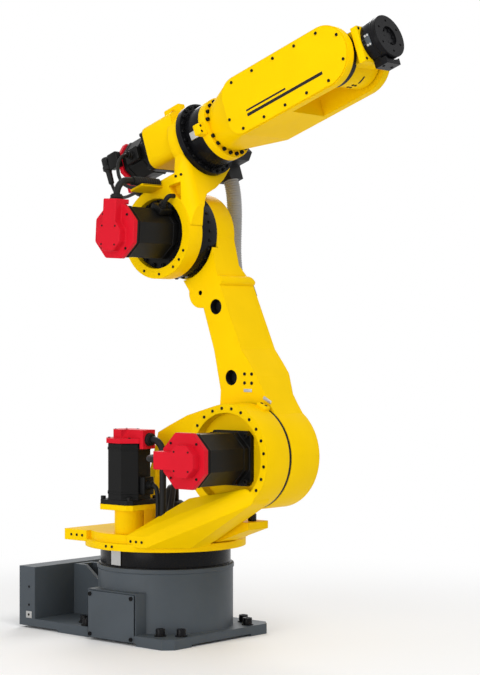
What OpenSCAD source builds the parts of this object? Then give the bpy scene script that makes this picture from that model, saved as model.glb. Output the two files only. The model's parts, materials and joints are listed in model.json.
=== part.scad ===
// Floor-mounted six-axis industrial robot arm with a fork wrist.
// X points forward, Y to the arm's left, Z up. The origin is on the waist axis at floor level.

/* [Axes] */
// Forward offset of the shoulder axis from the waist axis
shoulder_x = 405; // [385:5:425]
// Height of the shoulder axis above the floor
shoulder_z = 615; // [605:5:640]
// Length of the lower arm between the shoulder and elbow axes
lower_len = 788; // [740:1:860]
// Backward lean of the lower arm from vertical, in degrees
lower_lean = 23.6; // [10:0.1:35]
// Offset of the forearm roll axis above the elbow axis
elbow_rise = 266; // [262:1:290]
// Upward pitch of the forearm, in degrees
fore_pitch = 19; // [5:0.5:30]
// Distance from the elbow axis to the wrist bend axis along the forearm
wrist_reach = 805; // [790:1:860]
// Distance from the wrist bend axis to the tool face
tool_reach = 183; // [180:1:195]

/* [Base] */
// Width of the base plate beside the pedestal
plate_margin = 28; // [24:1:50]
// Front edge of the base plate, ahead of the waist axis
plate_front = 255; // [250:1:290]
// Half-width of the rear of the base plate
tail_half_w = 225; // [222:1:245]
// Rear edge of the base, behind the waist axis
tail_back = 482; // [450:1:540]
// Height of the top of the base plate
plate_top = 34; // [28:1:44]
// Height of the feet under the base plate
foot_h = 8; // [5:1:12]
// Radius of the pedestal
pedestal_r = 227; // [224:1:236]
// Height of the pedestal's rim
pedestal_top = 241; // [236:1:255]
// Radius of each anchor bolt hole
anchor_r = 11; // [9:0.5:13]
// Distance from the front edge of the plate to the nearest anchor holes
anchor_end_inset = 31; // [26:1:40]
// Distance from the side edge of the plate to the nearest anchor holes
anchor_side_inset = 52; // [46:1:60]
// Step along X between the two anchor holes of a corner
anchor_end_step = 54; // [48:1:60]
// Step along Y between the two anchor holes of a corner
anchor_side_step = 41; // [36:1:46]
// Height of the rear connector upright
upright_top = 211; // [200:1:225]

/* [Turret] */
// Height of the underside of the turntable
turntable_z = 303; // [300:1:306]
// Radius of the turntable rim
turntable_r = 270; // [262:1:280]
// Thickness of the turntable rim
rim_t = 24; // [20:1:28]
// Thickness of the deck on the turntable
deck_t = 28; // [24:1:34]
// Radius of the shoulder boss
boss_r = 171; // [168:1:176]
// Radius of the motor recess in the shoulder boss
boss_recess_r = 143; // [138:1:148]
// Y of the shoulder boss's outer face, on the right of the arm
boss_face_y = -148; // [-154:1:-144]
// Y of the seam between the turret and the lower arm
seam_y = -28; // [-32:1:-24]
// Depth of the motor recesses
recess_d = 34; // [28:1:38]

/* [Arms] */
// Y of the far face of the lower arm
arm_far_y = 110; // [100:1:118]
// Radius of the elbow end of the lower arm
elbow_r = 140; // [136:1:144]
// Radius of the elbow housing on the upper arm
housing_r = 148; // [146:1:154]
// Y of the elbow housing's outer face
housing_face_y = -137; // [-142:1:-134]
// Radius of the motor recess in the elbow housing
housing_recess_r = 115; // [110:1:120]
// Radius of the forearm roll housing
roll_r = 118; // [114:1:122]
// Radius of the forearm's mounting flange
fore_flange_r = 105; // [102:1:112]
// Half-height of the forearm's fork body
fork_half_h = 97; // [92:1:104]
// Half-width of the forearm between the outer faces of its covers
fork_half_w = 111; // [108:1:116]
// Thickness of each fork leg without its cover
leg_t = 28; // [24:1:30]

/* [Motors and wrist] */
// Width across flats of the shoulder and elbow motors
motor_af = 174; // [166:1:180]
// Width across flats of the waist motor
waist_motor_af = 150; // [142:1:158]
// Width across flats of the roll motor
roll_motor_af = 146; // [136:1:148]
// Radius of the wrist hub about the bend axis
hub_r = 80; // [76:1:84]
// Radius of the tool drive housing
drive_r = 68; // [66:1:72]
// Radius of the tool flange
tool_r = 68; // [64:1:70]
// Bolt circle diameter of the tool flange
tool_pcd = 100; // [96:1:104]
// Radius of each tapped hole in the tool flange
tool_hole_r = 4; // [3:0.5:5]
// Radius of the pilot bore in the tool flange
pilot_r = 31.5; // [25:0.5:36]

/* [Hidden] */
$fn = 96;
hull_fn = 32;
overrun = 1;
run_gap = 0.3;
side_gap = 5;
sides = [-1, 1];

// Base values
plate_half_w = pedestal_r + plate_margin;
anchor_inner = [plate_front - anchor_end_inset, plate_half_w - anchor_side_inset - anchor_side_step];
anchor_outer = [plate_front - anchor_end_inset - anchor_end_step, plate_half_w - anchor_side_inset];
plate_chamfer = 30;
step_x = -130;
foot_len = 145;
foot_w = 110;
tail_foot_front = -140;
tail_foot_len = 150;
block_back = -117;
block_front = 105;
block_inner_y = -150;
block_top = 168;
cover_t = 5;
cover_margin = 4;
cover_x = [block_back + cover_margin, block_front - cover_margin];
upright_t = 78;
spine_half_w = 40;
spine_wall = 14;
spine_low = 164;
spine_flat_len = 132;
spine_slope_len = 60;
duct_floor = 96;
duct_front = pedestal_r + side_gap;

// Waist values
ring_r = 219;
rim_top = turntable_z + rim_t;
deck_top = rim_top + deck_t;
deck_inset = 16;
pad_drop = 9;
rear_pad_back = -255;
rear_pad_front = -150;
rear_pad_y = 225;
front_pad_back = 65;
front_pad_front = 146;
front_pad_y = 252;
pointer_w = 46;
pointer_t = 2;
pointer_drop = 54;
pointer_turn = -94;

// Shoulder tower values, with outline points as shares of the boss radius from the shoulder axis
strut_near_y = -70;
strut_shares = [[-0.26, 0.97], [-0.69, 0.94], [-1.41, 0.74], [-1.89, 0.53], [-2.18, 0.39]];
strut_foot_share = -2.80;
strut_foot_w = 76;
window_shares = [[-2.26, -0.35], [-2.0, -0.04], [-0.99, -0.1]];
toe_share = -0.90;
heel_share = -1.62;
toe_angle = -66;
heel_angle = 212;
cradle_near_y = -190;
cradle_shares = [[-0.88, -0.96], [0.50, -0.70]];
cradle_r_share = 0.17;
stop_back = 180;
stop_knee = 255;
stop_front = 400;
stop_y = [-36, 62];
stop_low = 378;
stop_top = 402;
stop_bolt_r = 15;
stop_bolt_h = 24;
stop_bolt_inset = 30;
stop_bolt_y = 18;

// Motor values
waist_motor_x = 13;
waist_motor_y = -187;
column_r = 48;
seat_t = 18;
seat_rise = 97;
seat_margin = 1;
motor_flange_t = 16;
motor_corner = 12;
waist_body_len = 200;
shoulder_body_len = 214;
elbow_body_len = 212;
roll_body_len = 125;
cap_t = 16;
cap_boss_share = 0.58;
cap_boss_t = 28;
cap_boss_shift_share = 0.08;
tab_w = 56;
tab_back = 18;
tab_out = 16;
plug_r = 17;
plug_len = 16;
plug_z = (cap_t + cap_boss_t - tab_back) / 2;
cable_r = 11;
cable_bend = 46;
shoulder_cable_bend = 70;
roll_cable_bend = 24;
elbow_motor_turn = 180 / 8;
elbow_flange_margin = 2;

// Lower arm values: shares of the arm's length along it and of the boss radius across it
shoulder_ring_r = 160;
shoulder_ring_t = 12;
arm_near_y = seam_y;
beam_far_y = 140;
beam_front_shares = [[0, 0.97], [0.157, 0.82], [0.288, 0.73], [0.346, 0.67], [0.42, 0.58],
    [0.73, 0.57], [0.9, 0.70], [1.0, 0.81]];
beam_rear_shares = [[0.87, -0.6], [0.815, -0.26], [0.76, -0.2], [0.69, 0.02], [0.477, -0.06], [0.31, -0.21],
    [0.255, -0.34], [0, -0.98]];
beam_side_shares = [0.20, 0.30, 0.72, 0.80];
elbow_far_y = 90;
beam_hole_r = 25;
beam_hole_d = 60;
beam_hole_shares = [[0.336, 0.13], [0.638, 0.31]];
lug_hole_r = 8;
lug_hole_shares = [0.727, 0.05];
ear_r = 50;
lug_r = 17;
lug_shares = [0.733, 0.56];
end_cover_t = 8;
end_cover_share = 0.78;

// Upper arm values; outline points are shares of the housing radius along the roll axis
// and of the elbow rise across it, from the elbow axis
elbow_ring_near_y = -76;
elbow_ring_r = 144;
notch_share = 0.91;
neck_shares = [[-0.42, 0.50], [0.05, 0.585], [0.57, 0.60], [notch_share, 0.60], [notch_share, 0.90],
    [1.25, 0.90], [1.25, 0.21], [1.0, -0.10], [0.3, 0], [-0.3, 0.1]];
neck_front_shares = [[-1, -0.2], [-1, 0.56], [-0.73, 0.90], [0.75, 0.90], [0.75, 0.665], [0.40, 0.50],
    [0.04, 0.376], [-0.34, 0.286], [-0.47, 0.20], [-0.555, 0.1], [-0.555, -0.2]];
pocket_shares = [[0.69, 0.474], [1.01, 0.462], [0.92, 0.244], [0.69, 0.376]];
pocket_d = 30;
neck_round = 50;
elbow_sweep_r = 162;
box_back = 12;
box_front = 150;
box_low = -36;
box_top = 112;
box_half_w = 100;
box_corner = 30;
roll_back = 130;
roll_ring_back = 176;
eye_back = 54;
eye_len = 74;
eye_top = 158;
eye_half_t = 15;
eye_r = 13;
roll_ring_r = 124;
roll_ring_t = 20;
roll_motor_v = 36;
roll_motor_y = -20;
bracket_t = 8;
bracket_w = 60;
bracket_share = 0.12;
bracket_rise_share = 0.53;
bracket_len = 96;
clamp_back = 84;
clamp_len = 124;
clamp_low = -106;
clamp_h = 110;
clamp_near_y = 134;
clamp_far_y = 202;
clamp_step = 48;
clamp_foot_len = 58;
clamp_nose = 22;
clamp_web_inset = 16;

// Hose values
hose_r = 26;
hose_y = 168;
hose_sides = 12;
hose_rings = 14;
hose_inset = 30;
hose_pull = 120;
grip_share = 0.76;
grip_w = 76;
grip_h = 54;
grip_wall = 6;
grip_across = 16;

// Forearm values along and across the roll axis
bearing_r = 104;
bearing_len = 66;
fore_flange_t = 28;
fore_neck_margin = 28;
fork_back = 382;
fork_corner = 60;
fork_slot_back = 185;
cover_inset = 3;
fork_inner = fork_half_w - cover_t - leg_t;
fore_flange_back = roll_ring_back + roll_ring_t + bearing_len;

// Wrist values, measured from the wrist bend axis
hub_half_w = fork_inner - side_gap;
trunnion_r = 46;
wrist_plate_back = 100;
wrist_plate_t = 24;
wrist_plate_low = -64;
wrist_plate_top = 52;
wrist_neck_half = 52;
guard_len = 48;
guard_low = -87;
guard_half_w = 34;
tool_t = 25;
pilot_d = 8;
tool_holes = 6;

elbow_x = shoulder_x - lower_len * sin(lower_lean);
elbow_z = shoulder_z + lower_len * cos(lower_lean);
drive_back = wrist_plate_back + wrist_plate_t;
shoulder_hub = [shoulder_x, shoulder_z];
waist_cable_x = waist_motor_x + waist_motor_af / 2 + tab_out + plug_len + cable_bend;

function from_centre(c, r, a) = [c[0] + r * cos(a), c[1] + r * sin(a)];
function span(pair) = pair[1] - pair[0];
function octagon_r(flats) = flats / 2 / cos(180 / 8);
function scaled(shares, across, along) = [for (p = shares) [p[0] * across, p[1] * along]];
function placed(shares, c, r) = [for (p = shares) c + r * p];

// Point in the X-Z plane from its place along and across the forearm's roll axis
function fore_point(u, v) = [elbow_x + u * cos(fore_pitch) - (v + elbow_rise) * sin(fore_pitch),
    elbow_z + u * sin(fore_pitch) + (v + elbow_rise) * cos(fore_pitch)];

// Point in the X-Z plane from its place across and along the lower arm
function lower_point(w, s) = [shoulder_x - s * sin(lower_lean) + w * cos(lower_lean),
    shoulder_z + s * cos(lower_lean) + w * sin(lower_lean)];

// Solid with an X-Z outline, between two Y positions
module slab_y(y) {
    translate([0, y[1], 0]) rotate([90, 0, 0]) linear_extrude(height = span(y)) children();
}

// Solid with a Y-Z outline, between two X positions
module slab_x(x) {
    translate([x[0], 0, 0]) rotate([90, 0, 90]) linear_extrude(height = span(x)) children();
}

// Round drum about an axis along Y
module drum_y(x, z, y, r) {
    translate([x, y[1], z]) rotate([90, 0, 0]) cylinder(h = span(y), r = r);
}

// Round drum about an axis along X
module drum_x(x, r) {
    translate([x[0], 0, 0]) rotate([0, 90, 0]) cylinder(h = span(x), r = r);
}

module block(x, y, z) {
    translate([x[0], y[0], z[0]]) cube([span(x), span(y), span(z)]);
}

// Frame of the lower arm: Z runs from the shoulder to the elbow, X to its front
module lower_frame() {
    translate([shoulder_x, 0, shoulder_z]) rotate([0, -lower_lean, 0]) children();
}

// Frame of the elbow: X along the forearm, Z across it
module elbow_frame() {
    translate([elbow_x, 0, elbow_z]) rotate([0, -fore_pitch, 0]) children();
}

// Frame of the upper arm and forearm, on the roll axis
module fore_frame() {
    elbow_frame() translate([0, 0, elbow_rise]) children();
}

// Frame of the wrist, on the bend axis
module wrist_frame() {
    fore_frame() translate([wrist_reach, 0, 0]) children();
}

// Motor frames: Z runs out of the seat along the motor
module waist_motor_frame() {
    translate([waist_motor_x, waist_motor_y, deck_top + seat_rise]) children();
}

module shoulder_motor_frame() {
    translate([shoulder_x, boss_face_y + recess_d, shoulder_z]) rotate([90, 0, 0]) children();
}

module elbow_motor_frame() {
    elbow_frame() translate([0, housing_face_y + recess_d, 0]) rotate([90, 0, 0])
        rotate([0, 0, elbow_motor_turn]) children();
}

module roll_motor_frame() {
    fore_frame() translate([box_back, roll_motor_y, roll_motor_v]) rotate([0, -90, 0]) children();
}

module octagon_prism(flats, h) {
    rotate([0, 0, 180 / 8]) cylinder(h = h, r = octagon_r(flats), $fn = 8);
}

// Square plate with cut corners
module square_flange(size, h) {
    intersection() {
        translate([-size / 2, -size / 2, 0]) cube([size, size, h]);
        rotate([0, 0, 45]) translate([-size / sqrt(2) + motor_corner, -size / sqrt(2) + motor_corner, 0])
            cube([2 * (size / sqrt(2) - motor_corner), 2 * (size / sqrt(2) - motor_corner), h]);
    }
}

// Eight-sided servo motor body on a square mounting flange
module motor_body(flats, len) {
    square_flange(flats, motor_flange_t);
    octagon_prism(flats - motor_corner, len);
}

// Encoder cap of a servo motor: a plate, a raised cover and a connector tab that reaches back past the plate
module motor_cap(flats, z) {
    tab_x = -flats / 2 - tab_out;
    tab_y = [-tab_w / 2, tab_w / 2];
    translate([0, 0, z]) {
        octagon_prism(flats, cap_t);
        translate([flats * cap_boss_shift_share, 0, 0])
            octagon_prism(flats * cap_boss_share, cap_t + cap_boss_t);
        block([tab_x, tab_x + flats / 2], tab_y, [0, cap_t + cap_boss_t]);
        block([tab_x, tab_x + tab_out], tab_y, [-tab_back, cap_t]);
    }
}

// Frame of the plug on a cap's tab: Z points out of the tab, and X back along the motor
module plug_frame(flats) {
    translate([-flats / 2 - tab_out, 0, plug_z]) rotate([0, -90, 0]) children();
}

// Plug on a cap's tab, and the cable that bends back from it along the motor and runs straight for a length
module motor_cable(flats, z, bend, run) {
    translate([0, 0, z]) plug_frame(flats) {
        cylinder(h = plug_len, r = plug_r);
        translate([-bend, 0, plug_len]) rotate([90, 0, 0]) {
            rotate_extrude(angle = 90) translate([bend, 0]) circle(cable_r);
            translate([0, bend, 0]) rotate([0, -90, 0]) cylinder(h = run, r = cable_r);
        }
    }
}

// Outline of the base plate: full width at the front, narrower at the tail
module base_outline() {
    polygon([
        [plate_front, plate_half_w - plate_chamfer], [plate_front - plate_chamfer, plate_half_w],
        [step_x + plate_chamfer, plate_half_w], [step_x, tail_half_w], [-tail_back, tail_half_w],
        [-tail_back, -tail_half_w], [step_x, -tail_half_w], [step_x + plate_chamfer, -plate_half_w],
        [plate_front - plate_chamfer, -plate_half_w], [plate_front, -plate_half_w + plate_chamfer]]);
}

module base_feet() {
    linear_extrude(height = plate_top) intersection() {
        base_outline();
        for (s = sides) {
            translate([plate_front - foot_len, s > 0 ? plate_half_w - foot_w : -plate_half_w])
                square([foot_len, foot_w]);
            translate([tail_foot_front - tail_foot_len, s > 0 ? tail_half_w - foot_w : -tail_half_w])
                square([tail_foot_len, foot_w]);
        }
    }
}

module anchor_holes() {
    for (p = [anchor_inner, anchor_outer], i = sides, j = sides)
        translate([i * p[0], j * p[1], -overrun]) cylinder(h = plate_top + 2 * overrun, r = anchor_r);
}

// Cable duct between the pedestal and the rear upright, with a sloping open front
module base_spine() {
    flat_x = -tail_back + spine_flat_len;
    difference() {
        slab_y([-spine_half_w, spine_half_w]) polygon([
            [-tail_back, foot_h], [0, foot_h], [0, spine_low], [flat_x + spine_slope_len, spine_low],
            [flat_x, upright_top - cover_margin], [-tail_back, upright_top - cover_margin]]);
        block([flat_x - spine_slope_len / 2, -duct_front],
            [-spine_half_w + spine_wall, spine_half_w - spine_wall], [duct_floor, upright_top + overrun]);
    }
}

module base_casting() {
    color("dimgray") difference() {
        union() {
            translate([0, 0, foot_h]) linear_extrude(height = plate_top - foot_h) base_outline();
            base_feet();
            translate([0, 0, foot_h]) cylinder(h = pedestal_top - foot_h, r = pedestal_r);
            block([block_back, block_front], [-plate_half_w + cover_t, block_inner_y], [foot_h, block_top]);
            block([-tail_back, -tail_back + upright_t], [-tail_half_w, tail_half_w], [foot_h, upright_top]);
            base_spine();
        }
        anchor_holes();
        block(cover_x, [-plate_half_w - overrun, -plate_half_w + cover_t], [0, block_top]);
    }
}

module base_side_cover() {
    color("#4b4c50") block(cover_x, [-plate_half_w, -plate_half_w + cover_t],
        [foot_h, block_top - cover_margin]);
}

module waist_reducer_ring() {
    color("#1c1c1e") translate([0, 0, pedestal_top])
        cylinder(h = turntable_z - pedestal_top - run_gap, r = ring_r);
}

// Side outline of the front pedestal that carries the shoulder boss
module pedestal_outline() {
    polygon([shoulder_hub, from_centre(shoulder_hub, boss_r, heel_angle),
        [shoulder_x + heel_share * boss_r, rim_top], [shoulder_x + toe_share * boss_r, rim_top],
        from_centre(shoulder_hub, boss_r, toe_angle)]);
}

// Side outline of the rear strut, from the boss over the window to the deck
module strut_outline() {
    foot_x = shoulder_x + strut_foot_share * boss_r;
    polygon(concat([shoulder_hub], placed(strut_shares, shoulder_hub, boss_r),
        [[foot_x, rim_top], [foot_x + strut_foot_w, rim_top]], placed(window_shares, shoulder_hub, boss_r)));
}

module turret_pads() {
    for (s = sides)
        block([front_pad_back, front_pad_front], s > 0 ? [0, front_pad_y] : [-front_pad_y, 0],
            [rim_top - pad_drop, deck_top]);
    block([rear_pad_back, rear_pad_front], [-rear_pad_y, rear_pad_y], [rim_top - pad_drop, deck_top]);
}

// Cradle that carries the boss down to the right edge of the deck
module boss_cradle() {
    hull() {
        block([front_pad_back, front_pad_front], [-front_pad_y, cradle_near_y],
            [rim_top - pad_drop, deck_top]);
        for (p = placed(cradle_shares, shoulder_hub, boss_r))
            drum_y(p[0], p[1], [boss_face_y, strut_near_y], boss_r * cradle_r_share, $fn = hull_fn);
        block([front_pad_back, shoulder_x + toe_share * boss_r], [boss_face_y, strut_near_y],
            [rim_top - pad_drop, deck_top]);
    }
}

module turret_casting() {
    color("gold") difference() {
        union() {
            translate([0, 0, turntable_z]) cylinder(h = rim_t, r = turntable_r);
            translate([0, 0, rim_top]) cylinder(h = deck_t, r = turntable_r - deck_inset);
            turret_pads();
            slab_y([strut_near_y, seam_y - shoulder_ring_t]) {
                pedestal_outline();
                strut_outline();
            }
            drum_y(shoulder_x, shoulder_z, [boss_face_y, seam_y - shoulder_ring_t], boss_r);
            boss_cradle();
            slab_y(stop_y) polygon([[stop_back, rim_top], [stop_knee, rim_top], [stop_front, stop_low],
                [stop_front, stop_top], [stop_back, stop_top]]);
        }
        drum_y(shoulder_x, shoulder_z, [boss_face_y - overrun, boss_face_y + recess_d], boss_recess_r);
        translate([waist_cable_x, waist_motor_y, deck_top]) cylinder(h = seat_rise, r = cable_r + run_gap);
    }
}

module waist_motor_seat() {
    color("gold") translate([waist_motor_x, waist_motor_y, deck_top]) {
        cylinder(h = seat_rise, r = column_r);
        translate([0, 0, seat_rise - seat_t]) square_flange(waist_motor_af + 2 * seat_margin, seat_t);
    }
}

module waist_motor_body() {
    color("#232327") waist_motor_frame() motor_body(waist_motor_af, waist_body_len);
}

module waist_motor_cap() {
    color("crimson") waist_motor_frame() rotate([0, 0, 180]) motor_cap(waist_motor_af, waist_body_len);
}

// Cable from the waist motor's plug, down beside the motor to the deck
module waist_motor_cable() {
    run = seat_rise + waist_body_len + plug_z - cable_bend;
    color("#232327") waist_motor_frame() rotate([0, 0, 180])
        motor_cable(waist_motor_af, waist_body_len, cable_bend, run);
}

module shoulder_motor_body() {
    color("#232327") shoulder_motor_frame() motor_body(motor_af, shoulder_body_len);
}

module shoulder_motor_cap() {
    color("crimson") shoulder_motor_frame() motor_cap(motor_af, shoulder_body_len);
}

// Cable from the shoulder motor's plug, back along the motor to the strut
module shoulder_motor_cable() {
    run = shoulder_body_len + plug_z - shoulder_cable_bend + strut_near_y - boss_face_y - recess_d;
    color("#232327") shoulder_motor_frame()
        motor_cable(motor_af, shoulder_body_len, shoulder_cable_bend, run);
}

module shoulder_reducer_ring() {
    color("#1c1c1e") drum_y(shoulder_x, shoulder_z, [seam_y - shoulder_ring_t, seam_y - run_gap],
        shoulder_ring_r);
}

module shoulder_stop_bumper() {
    color("#232327") translate([stop_front - stop_bolt_inset, stop_bolt_y, stop_top])
        cylinder(h = stop_bolt_h, r = stop_bolt_r, $fn = 6);
}

module turntable_pointer() {
    color("silver") rotate([0, 0, pointer_turn])
        block([ring_r + run_gap, ring_r + run_gap + pointer_t], [-pointer_w / 2, pointer_w / 2],
            [turntable_z - pointer_drop, turntable_z]);
}

// Side outline of the lower arm: two round ends, a beam set to the front, a lifting ear and a stop lug
module lower_outline() {
    circle(boss_r);
    translate([0, lower_len]) circle(elbow_r);
    polygon([for (p = concat(beam_front_shares, beam_rear_shares)) [p[1] * boss_r, p[0] * lower_len]]);
    translate([lug_hole_shares[1] * boss_r, lug_hole_shares[0] * lower_len]) circle(ear_r);
    translate([lug_shares[1] * boss_r, lug_shares[0] * lower_len]) circle(lug_r);
}

// Outline of the lower arm seen from the front: its far face stands out between the two ends
module lower_front_outline() {
    end_y = [arm_far_y, beam_far_y, beam_far_y, elbow_far_y];
    polygon(concat([[arm_near_y, -boss_r], [arm_far_y, -boss_r]],
        [for (i = [0:len(end_y) - 1]) [end_y[i], beam_side_shares[i] * lower_len]],
        [[elbow_far_y, lower_len + elbow_r], [arm_near_y, lower_len + elbow_r]]));
}

module lower_arm_casting() {
    color("gold") lower_frame() difference() {
        intersection() {
            slab_y([arm_near_y, beam_far_y]) lower_outline();
            slab_x([-boss_r, boss_r]) lower_front_outline();
        }
        drum_y(0, lower_len, [arm_near_y - overrun, 0], housing_r + side_gap);
        for (h = beam_hole_shares) drum_y(h[1] * boss_r, h[0] * lower_len,
            [arm_near_y - overrun, arm_near_y + beam_hole_d], beam_hole_r);
        drum_y(lug_hole_shares[1] * boss_r, lug_hole_shares[0] * lower_len,
            [arm_near_y - overrun, beam_far_y + overrun], lug_hole_r);
    }
}

module shoulder_end_cover() {
    color("gold") drum_y(shoulder_x, shoulder_z, [arm_far_y, arm_far_y + end_cover_t],
        boss_r * end_cover_share);
}

module lower_hose_clamp() {
    color("#232327") lower_frame()
        block([grip_across - grip_w / 2, grip_across + grip_w / 2],
            [beam_far_y, hose_y + hose_r + grip_wall],
            [grip_share * lower_len - grip_h, grip_share * lower_len]);
}

module elbow_reducer_ring() {
    color("#1c1c1e") elbow_frame() drum_y(0, 0, [elbow_ring_near_y, -run_gap], elbow_ring_r);
}

// Rounded gear box in front of the roll motor
module roll_gear_box() {
    corner_v = [box_low + box_corner, box_top - box_corner];
    corner_y = box_half_w - box_corner;
    hull() for (v = corner_v, s = sides)
        translate([0, s * corner_y, v]) drum_x([box_back, box_front], box_corner, $fn = hull_fn);
}

// Plan of the neck: its near front corner is round
module neck_plan() {
    round_x = roll_ring_back - neck_round;
    round_y = housing_face_y + neck_round;
    translate([-housing_r, housing_face_y]) square([housing_r + round_x, -2 * housing_face_y]);
    translate([-housing_r, round_y]) square([housing_r + roll_ring_back, -housing_face_y - round_y]);
    translate([round_x, round_y]) circle(neck_round);
}

// Neck between the elbow housing and the roll housing; its far side slopes out as it rises
module upper_neck() {
    difference() {
        intersection() {
            slab_y([housing_face_y, -housing_face_y]) polygon(scaled(neck_shares, housing_r, elbow_rise));
            slab_x([-housing_r, roll_ring_back])
                polygon(scaled(neck_front_shares, -housing_face_y, elbow_rise));
            translate([0, 0, -elbow_rise]) linear_extrude(height = 2 * elbow_rise) neck_plan();
        }
        drum_y(0, 0, [elbow_ring_near_y, -housing_face_y], elbow_ring_r + side_gap);
        drum_y(0, 0, [arm_near_y - side_gap, -housing_face_y], elbow_sweep_r);
    }
}

// Pocket in the near side of the neck, above the elbow housing
module neck_pocket() {
    slab_y([housing_face_y - overrun, housing_face_y + pocket_d])
        polygon(scaled(pocket_shares, housing_r, elbow_rise));
}

// Lifting eye on top of the gear box
module lifting_eye() {
    color("gold") fore_frame() difference() {
        block([eye_back, eye_back + eye_len], [-eye_half_t, eye_half_t], [box_top, eye_top]);
        drum_y(eye_back + eye_len / 2, eye_top - 2 * eye_r,
            [-eye_half_t - overrun, eye_half_t + overrun], eye_r);
    }
}

module upper_arm_casting() {
    color("gold") difference() {
        union() {
            elbow_frame() drum_y(0, 0, [housing_face_y, elbow_ring_near_y], housing_r);
            elbow_frame() upper_neck();
            fore_frame() {
                drum_x([roll_back, roll_ring_back], roll_r);
                roll_gear_box();
                block([clamp_back + clamp_web_inset, roll_ring_back - clamp_web_inset], [0, clamp_near_y],
                    [clamp_low + clamp_step, clamp_low + clamp_h - clamp_web_inset]);
            }
        }
        elbow_frame() drum_y(0, 0, [housing_face_y - overrun, housing_face_y + recess_d], housing_recess_r);
        elbow_frame() neck_pocket();
        fore_frame() drum_x([roll_ring_back, wrist_reach], roll_ring_r + side_gap);
    }
}

module elbow_motor_flange() {
    color("#232327") elbow_motor_frame()
        cylinder(h = motor_flange_t, r = housing_recess_r - elbow_flange_margin);
}

module elbow_motor_body() {
    color("#232327") elbow_motor_frame() translate([0, 0, motor_flange_t])
        octagon_prism(motor_af - motor_corner, elbow_body_len - motor_flange_t);
}

module elbow_motor_cap() {
    color("crimson") elbow_motor_frame() rotate([0, 0, 225]) motor_cap(motor_af, elbow_body_len);
}

// Cable from the elbow motor's plug, back along the motor to the neck
module elbow_motor_cable() {
    run = elbow_body_len + plug_z - cable_bend - recess_d;
    color("#232327") elbow_motor_frame() rotate([0, 0, 225])
        motor_cable(motor_af, elbow_body_len, cable_bend, run);
}

module roll_motor_body() {
    color("#232327") roll_motor_frame() motor_body(roll_motor_af, roll_body_len);
}

module roll_motor_cap() {
    color("crimson") roll_motor_frame() motor_cap(roll_motor_af, roll_body_len);
}

// Cable from the roll motor's plug, forward under the motor to the roll housing
module roll_motor_cable() {
    run = roll_body_len + plug_z - roll_cable_bend + roll_back - run_gap - box_back;
    color("#232327") roll_motor_frame() motor_cable(roll_motor_af, roll_body_len, roll_cable_bend, run);
}

module roll_reducer_ring() {
    color("#1c1c1e") fore_frame() drum_x([roll_ring_back, roll_ring_back + roll_ring_t], roll_ring_r);
}

// Flat bracket that stands out of the neck over the elbow motor
module cable_bracket() {
    color("gold") elbow_frame()
        block([bracket_share * housing_r, bracket_share * housing_r + bracket_w],
            [housing_face_y - bracket_len, housing_face_y],
            [bracket_rise_share * elbow_rise - bracket_t, bracket_rise_share * elbow_rise]);
}

// Clamp beside the roll housing: a block round the hose under a longer cable box
module upper_hose_clamp() {
    knee = clamp_low + clamp_step;
    top = clamp_low + clamp_h;
    front = clamp_back + clamp_len;
    color("#232327") fore_frame() slab_y([clamp_near_y, clamp_far_y]) polygon([
        [clamp_back, clamp_low], [clamp_back + clamp_foot_len, clamp_low],
        [clamp_back + clamp_foot_len, knee], [front - clamp_nose, knee], [front, knee + clamp_nose],
        [front - clamp_nose, top], [clamp_back, top]]);
}

// Hose route in the X-Z plane: a smooth curve from the grip on the lower arm up to the clamp
hose_low = lower_point(grip_across, grip_share * lower_len + run_gap);
hose_top = fore_point(clamp_back + hose_inset, clamp_low - run_gap);
hose_low_pull = lower_point(grip_across, grip_share * lower_len + hose_pull);
hose_top_pull = fore_point(clamp_back + hose_inset, clamp_low - hose_pull);
function hose_at(t) = pow(1 - t, 3) * hose_low + 3 * pow(1 - t, 2) * t * hose_low_pull
    + 3 * (1 - t) * t * t * hose_top_pull + t * t * t * hose_top;
function hose_way(t) = (1 - t) * (1 - t) * (hose_low_pull - hose_low)
    + 2 * (1 - t) * t * (hose_top_pull - hose_low_pull) + t * t * (hose_top - hose_top_pull);
function hose_ring(t) = let (c = hose_at(t), d = hose_way(t) / norm(hose_way(t)))
    [for (k = [0:hose_sides - 1]) let (a = 360 * k / hose_sides)
        [c[0] + hose_r * cos(a) * d[1], hose_y + hose_r * sin(a), c[1] - hose_r * cos(a) * d[0]]];

// Hose between the grip and the clamp
module conduit_hose() {
    points = [for (i = [0:hose_rings]) each hose_ring(i / hose_rings)];
    walls = [for (i = [0:hose_rings - 1], k = [0:hose_sides - 1]) let (n = (k + 1) % hose_sides)
        [i * hose_sides + k, (i + 1) * hose_sides + k, (i + 1) * hose_sides + n, i * hose_sides + n]];
    low_end = [for (k = [0:hose_sides - 1]) k];
    top_end = [for (k = [hose_sides - 1:-1:0]) hose_rings * hose_sides + k];
    color("darkgray") polyhedron(points = points, faces = concat(walls, [low_end, top_end]));
}

// Side outline of the fork: straight body with rounded rear corners and a round nose about the bend axis
module fork_outline(inset) {
    corner_x = fork_back + fork_corner;
    corner_v = fork_half_h - fork_corner;
    translate([wrist_reach, 0]) circle(fork_half_h - inset);
    translate([corner_x, -fork_half_h + inset]) square([wrist_reach - corner_x, 2 * (fork_half_h - inset)]);
    translate([fork_back + inset, -corner_v]) square([fork_corner, 2 * corner_v]);
    for (s = sides) translate([corner_x, s * corner_v]) circle(fork_corner - inset);
}

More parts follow.
